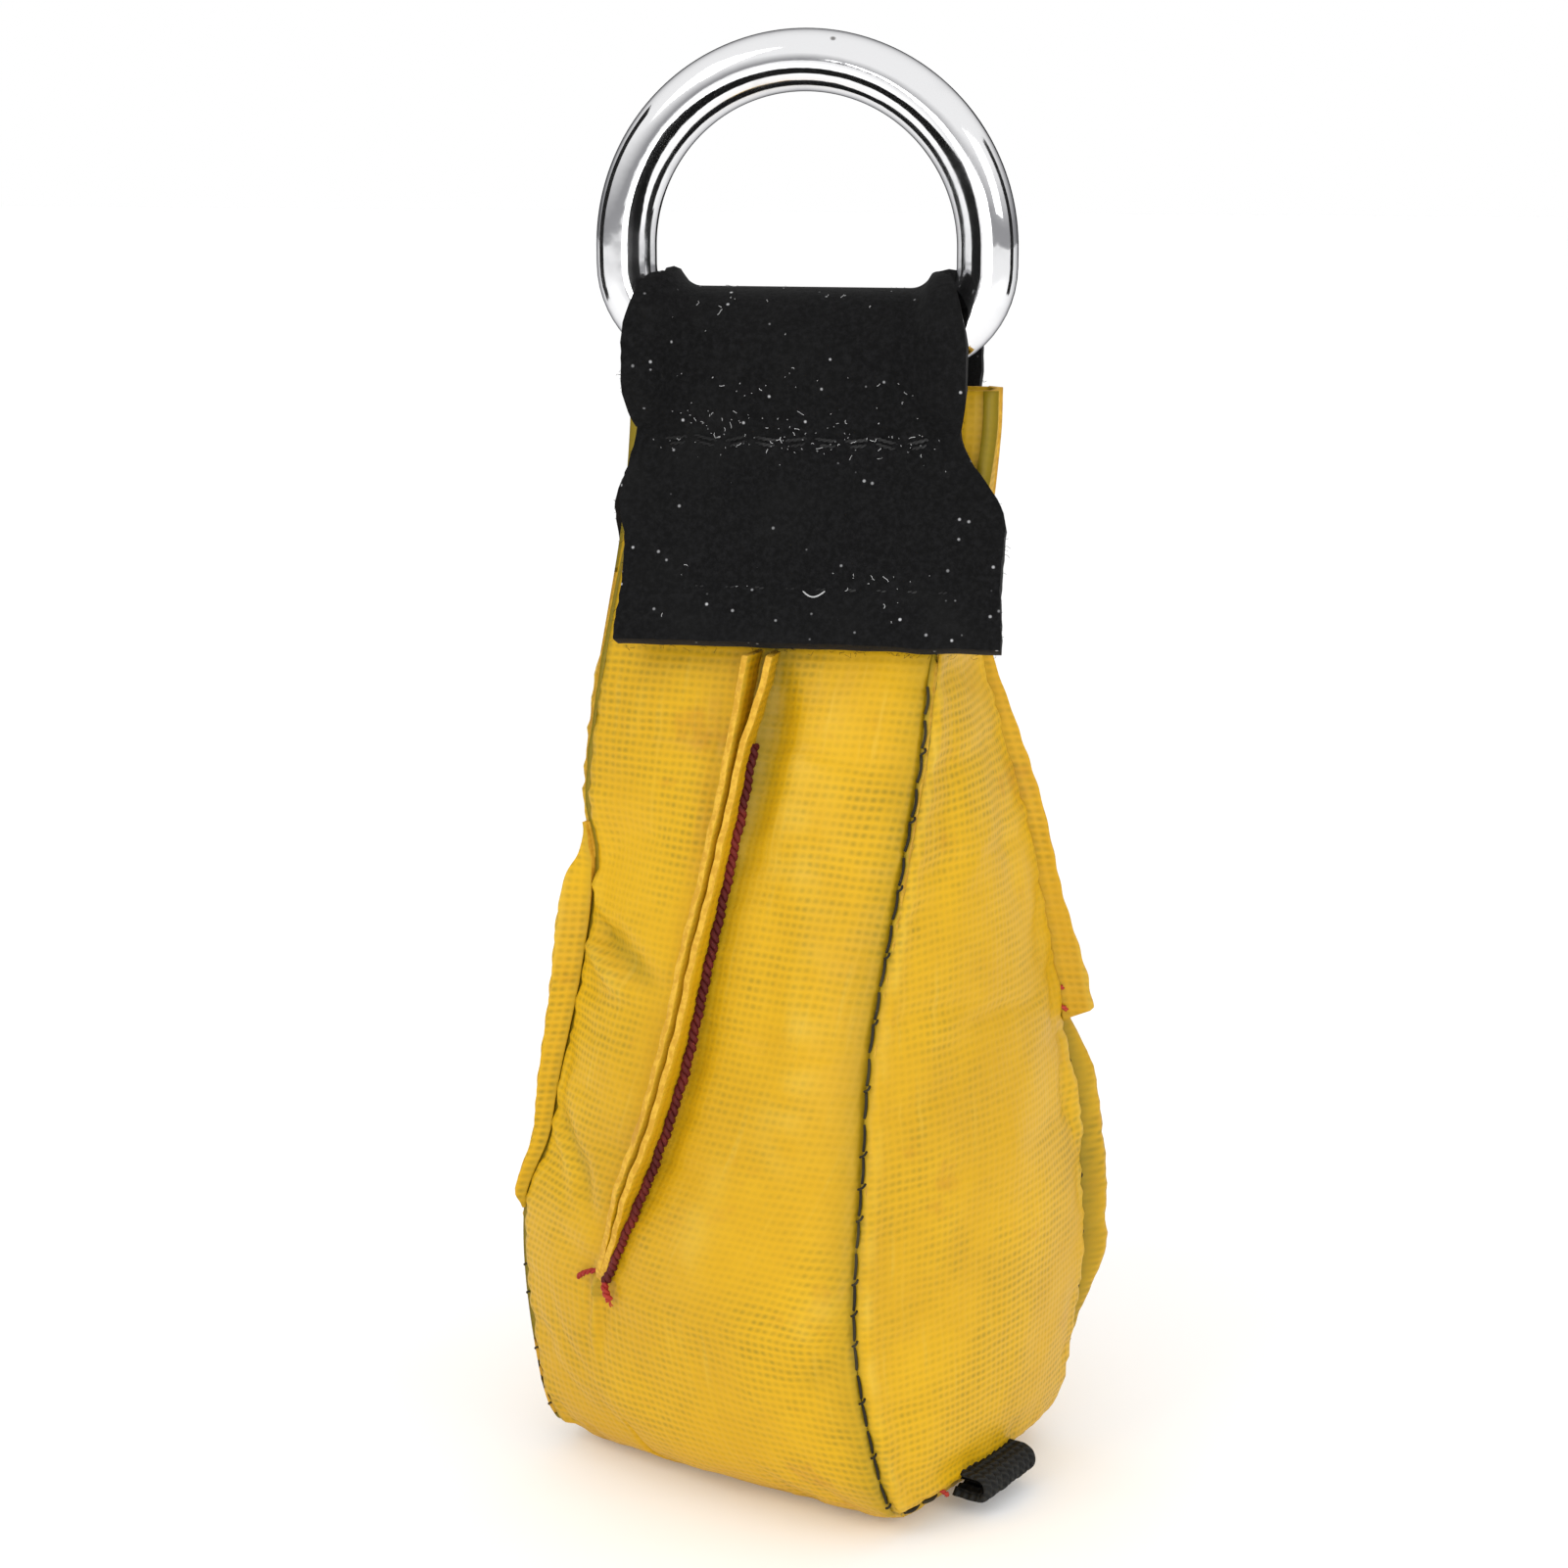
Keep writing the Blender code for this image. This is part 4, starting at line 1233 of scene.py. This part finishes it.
def makeRing():
    bar, r = ring["bow"] - ring["bend"], ring["wire"] / 2 * mm
    bpy.ops.object.select_all(action="DESELECT")
    bpy.ops.mesh.primitive_circle_add(vertices=ring["sides"], radius=r, location=(0, 0, ring["axis"] * mm),
                                      rotation=(0, pi / 2, 0))
    made = bpy.context.object
    settle(made)
    bpy.ops.object.mode_set(mode="EDIT")
    bpy.ops.mesh.select_all(action="SELECT")

    def push(x, z):
        bpy.ops.mesh.extrude_region_move(TRANSFORM_OT_translate={"value": (x * mm, 0, z * mm)})

    def sweep(x, z, angle, steps):
        bpy.ops.mesh.spin(steps=steps, angle=angle, center=(x * mm, 0, z * mm), axis=(0, 1, 0))

    level = ring["axis"] + ring["bend"]
    push(bar, 0)
    sweep(bar, level, pi / 2, ring["cornerSteps"])
    push(0, ring["arm"])
    sweep(0, level + ring["arm"], pi, ring["bowSteps"])
    push(0, -ring["arm"])
    sweep(-bar, level, pi / 2, ring["cornerSteps"])
    push(bar, 0)
    bpy.ops.mesh.select_all(action="SELECT")
    bpy.ops.mesh.remove_doubles(threshold=0.00001)
    bpy.ops.mesh.normals_make_consistent(inside=False)
    bpy.ops.object.mode_set(mode="OBJECT")
    bpy.ops.object.shade_smooth()
    made.name = "chromed_ring"
    return made


place(makeRing(), "ring", ringFinish, ["d_ring"])
print("ring made")


for name, finish in (("inner_liner", linerCloth()), ("shot_fill", steelShot())):
    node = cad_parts[name]
    for slot in node.material_slots:
        slot.material = finish


studio = {"floor": (0.93, 0.93, 0.93), "worldLight": 1.0, "keyPower": 1.3, "cardDark": (0.004, 0.004, 0.004)}


def addPlane(name, size, spot, rotation=(0, 0, 0)):
    bpy.ops.object.select_all(action="DESELECT")
    bpy.ops.mesh.primitive_plane_add(size=size, location=spot, rotation=rotation)
    made = bpy.context.object
    made.name = name
    return made


def makeStudio():
    scene = bpy.context.scene
    scene.view_settings.view_transform = "Standard"
    world = scene.world or bpy.data.worlds.new("studio")
    scene.world = world
    world.use_nodes = True
    tree = world.node_tree
    backdrop = tree.nodes["Background"]
    backdrop.inputs["Strength"].default_value = studio["worldLight"]
    # white all round, with a grey band at the horizon that only the shine sees
    heading = tree.nodes.new("ShaderNodeTexCoord")
    split = tree.nodes.new("ShaderNodeSeparateXYZ")
    size = tree.nodes.new("ShaderNodeMath")
    size.operation = "ABSOLUTE"
    band = tree.nodes.new("ShaderNodeValToRGB")
    band.color_ramp.elements[0].position, band.color_ramp.elements[0].color = 0.06, (0.34, 0.34, 0.35, 1)
    band.color_ramp.elements[1].position, band.color_ramp.elements[1].color = 0.42, (1, 1, 1, 1)
    ray = tree.nodes.new("ShaderNodeLightPath")
    mix = tree.nodes.new("ShaderNodeMix")
    mix.data_type = "RGBA"
    mix.inputs[6].default_value = (1, 1, 1, 1)
    for giver, taker in (
            (heading.outputs["Generated"], split.inputs[0]), (split.outputs["Z"], size.inputs[0]),
            (size.outputs[0], band.inputs[0]), (ray.outputs["Is Glossy Ray"], mix.inputs[0]),
            (band.outputs[0], mix.inputs[7]), (mix.outputs[2], backdrop.inputs["Color"])):
        tree.links.new(giver, taker)
    floor = addPlane("studio_floor", 6, (0, 0, -0.0002))
    paint = Finish("floorPaint", Roughness=0.9, Specular_IOR_Level=0.1, Emission_Color=(1, 1, 1, 1),
                   Emission_Strength=0.09)
    grain = paint.noise(paint.place(), 40, 3)
    paint.feed(Base_Color=paint.mix(grain, studio["floor"], (0.90, 0.90, 0.90)))
    floor.data.materials.append(paint.material)
    # Name, place, size, power
    lights = (
        ("key", (-0.42, -0.52, 0.62), 0.35, studio["keyPower"]), ("fill", (0.55, -0.30, 0.35), 0.30, 0.6),
        ("low", (0.08, -0.50, 0.05), 0.30, 0.85),
    )
    for name, spot, size, power in lights:
        bpy.ops.object.light_add(type="AREA", location=spot)
        lamp = bpy.context.object
        lamp.name = name + "_light"
        lamp.data.size, lamp.data.energy = size, power
        lamp.rotation_euler = (Vector((0, 0, 0.06)) - lamp.location).to_track_quat("-Z", "Y").to_euler()
    dark = Finish("darkCard", Base_Color=(*studio["cardDark"], 1), Roughness=1.0).material
    # Name, place, width and height, turn in degrees
    cards = (
        ("front_card", (0.0, -0.020, 0.1265), (0.026, 0.013), 10),
        ("rear_card", (0.0, 0.42, 0.16), (0.42, 0.30), 10),
        ("left_card", (-0.30, 0.05, 0.17), (0.13, 0.30), 80),
        ("right_card", (0.30, 0.10, 0.17), (0.10, 0.30), -80),
    )
    for name, spot, (wide, tall), facing in cards:  # seen only in the ring's shine, like a studio's flags
        card = addPlane(name, 1, spot, (pi / 2, 0, radians(facing)))
        card.scale = (wide, tall, 1)
        card.data.materials.append(dark)
        card.visible_camera = card.visible_diffuse = card.visible_shadow = False
        card.visible_transmission = False


makeStudio()

camera = {"target": (-0.00207, -0.00036, 0.0718), "distance": 0.314, "turn": 10.0, "rise": 13.0, "lens": 70.5}


def makeCamera():
    turn, rise = radians(camera["turn"]), radians(camera["rise"])
    back = Vector((sin(turn) * cos(rise), -cos(turn) * cos(rise), sin(rise)))
    bpy.ops.object.camera_add(location=Vector(camera["target"]) + back * camera["distance"])
    made = bpy.context.object
    made.rotation_euler = (-back).to_track_quat("-Z", "Y").to_euler()
    made.data.lens, made.data.sensor_width = camera["lens"], 36
    made.data.clip_start, made.data.clip_end = 0.01, 20
    bpy.context.scene.camera = made


makeCamera()
print("studio ready")
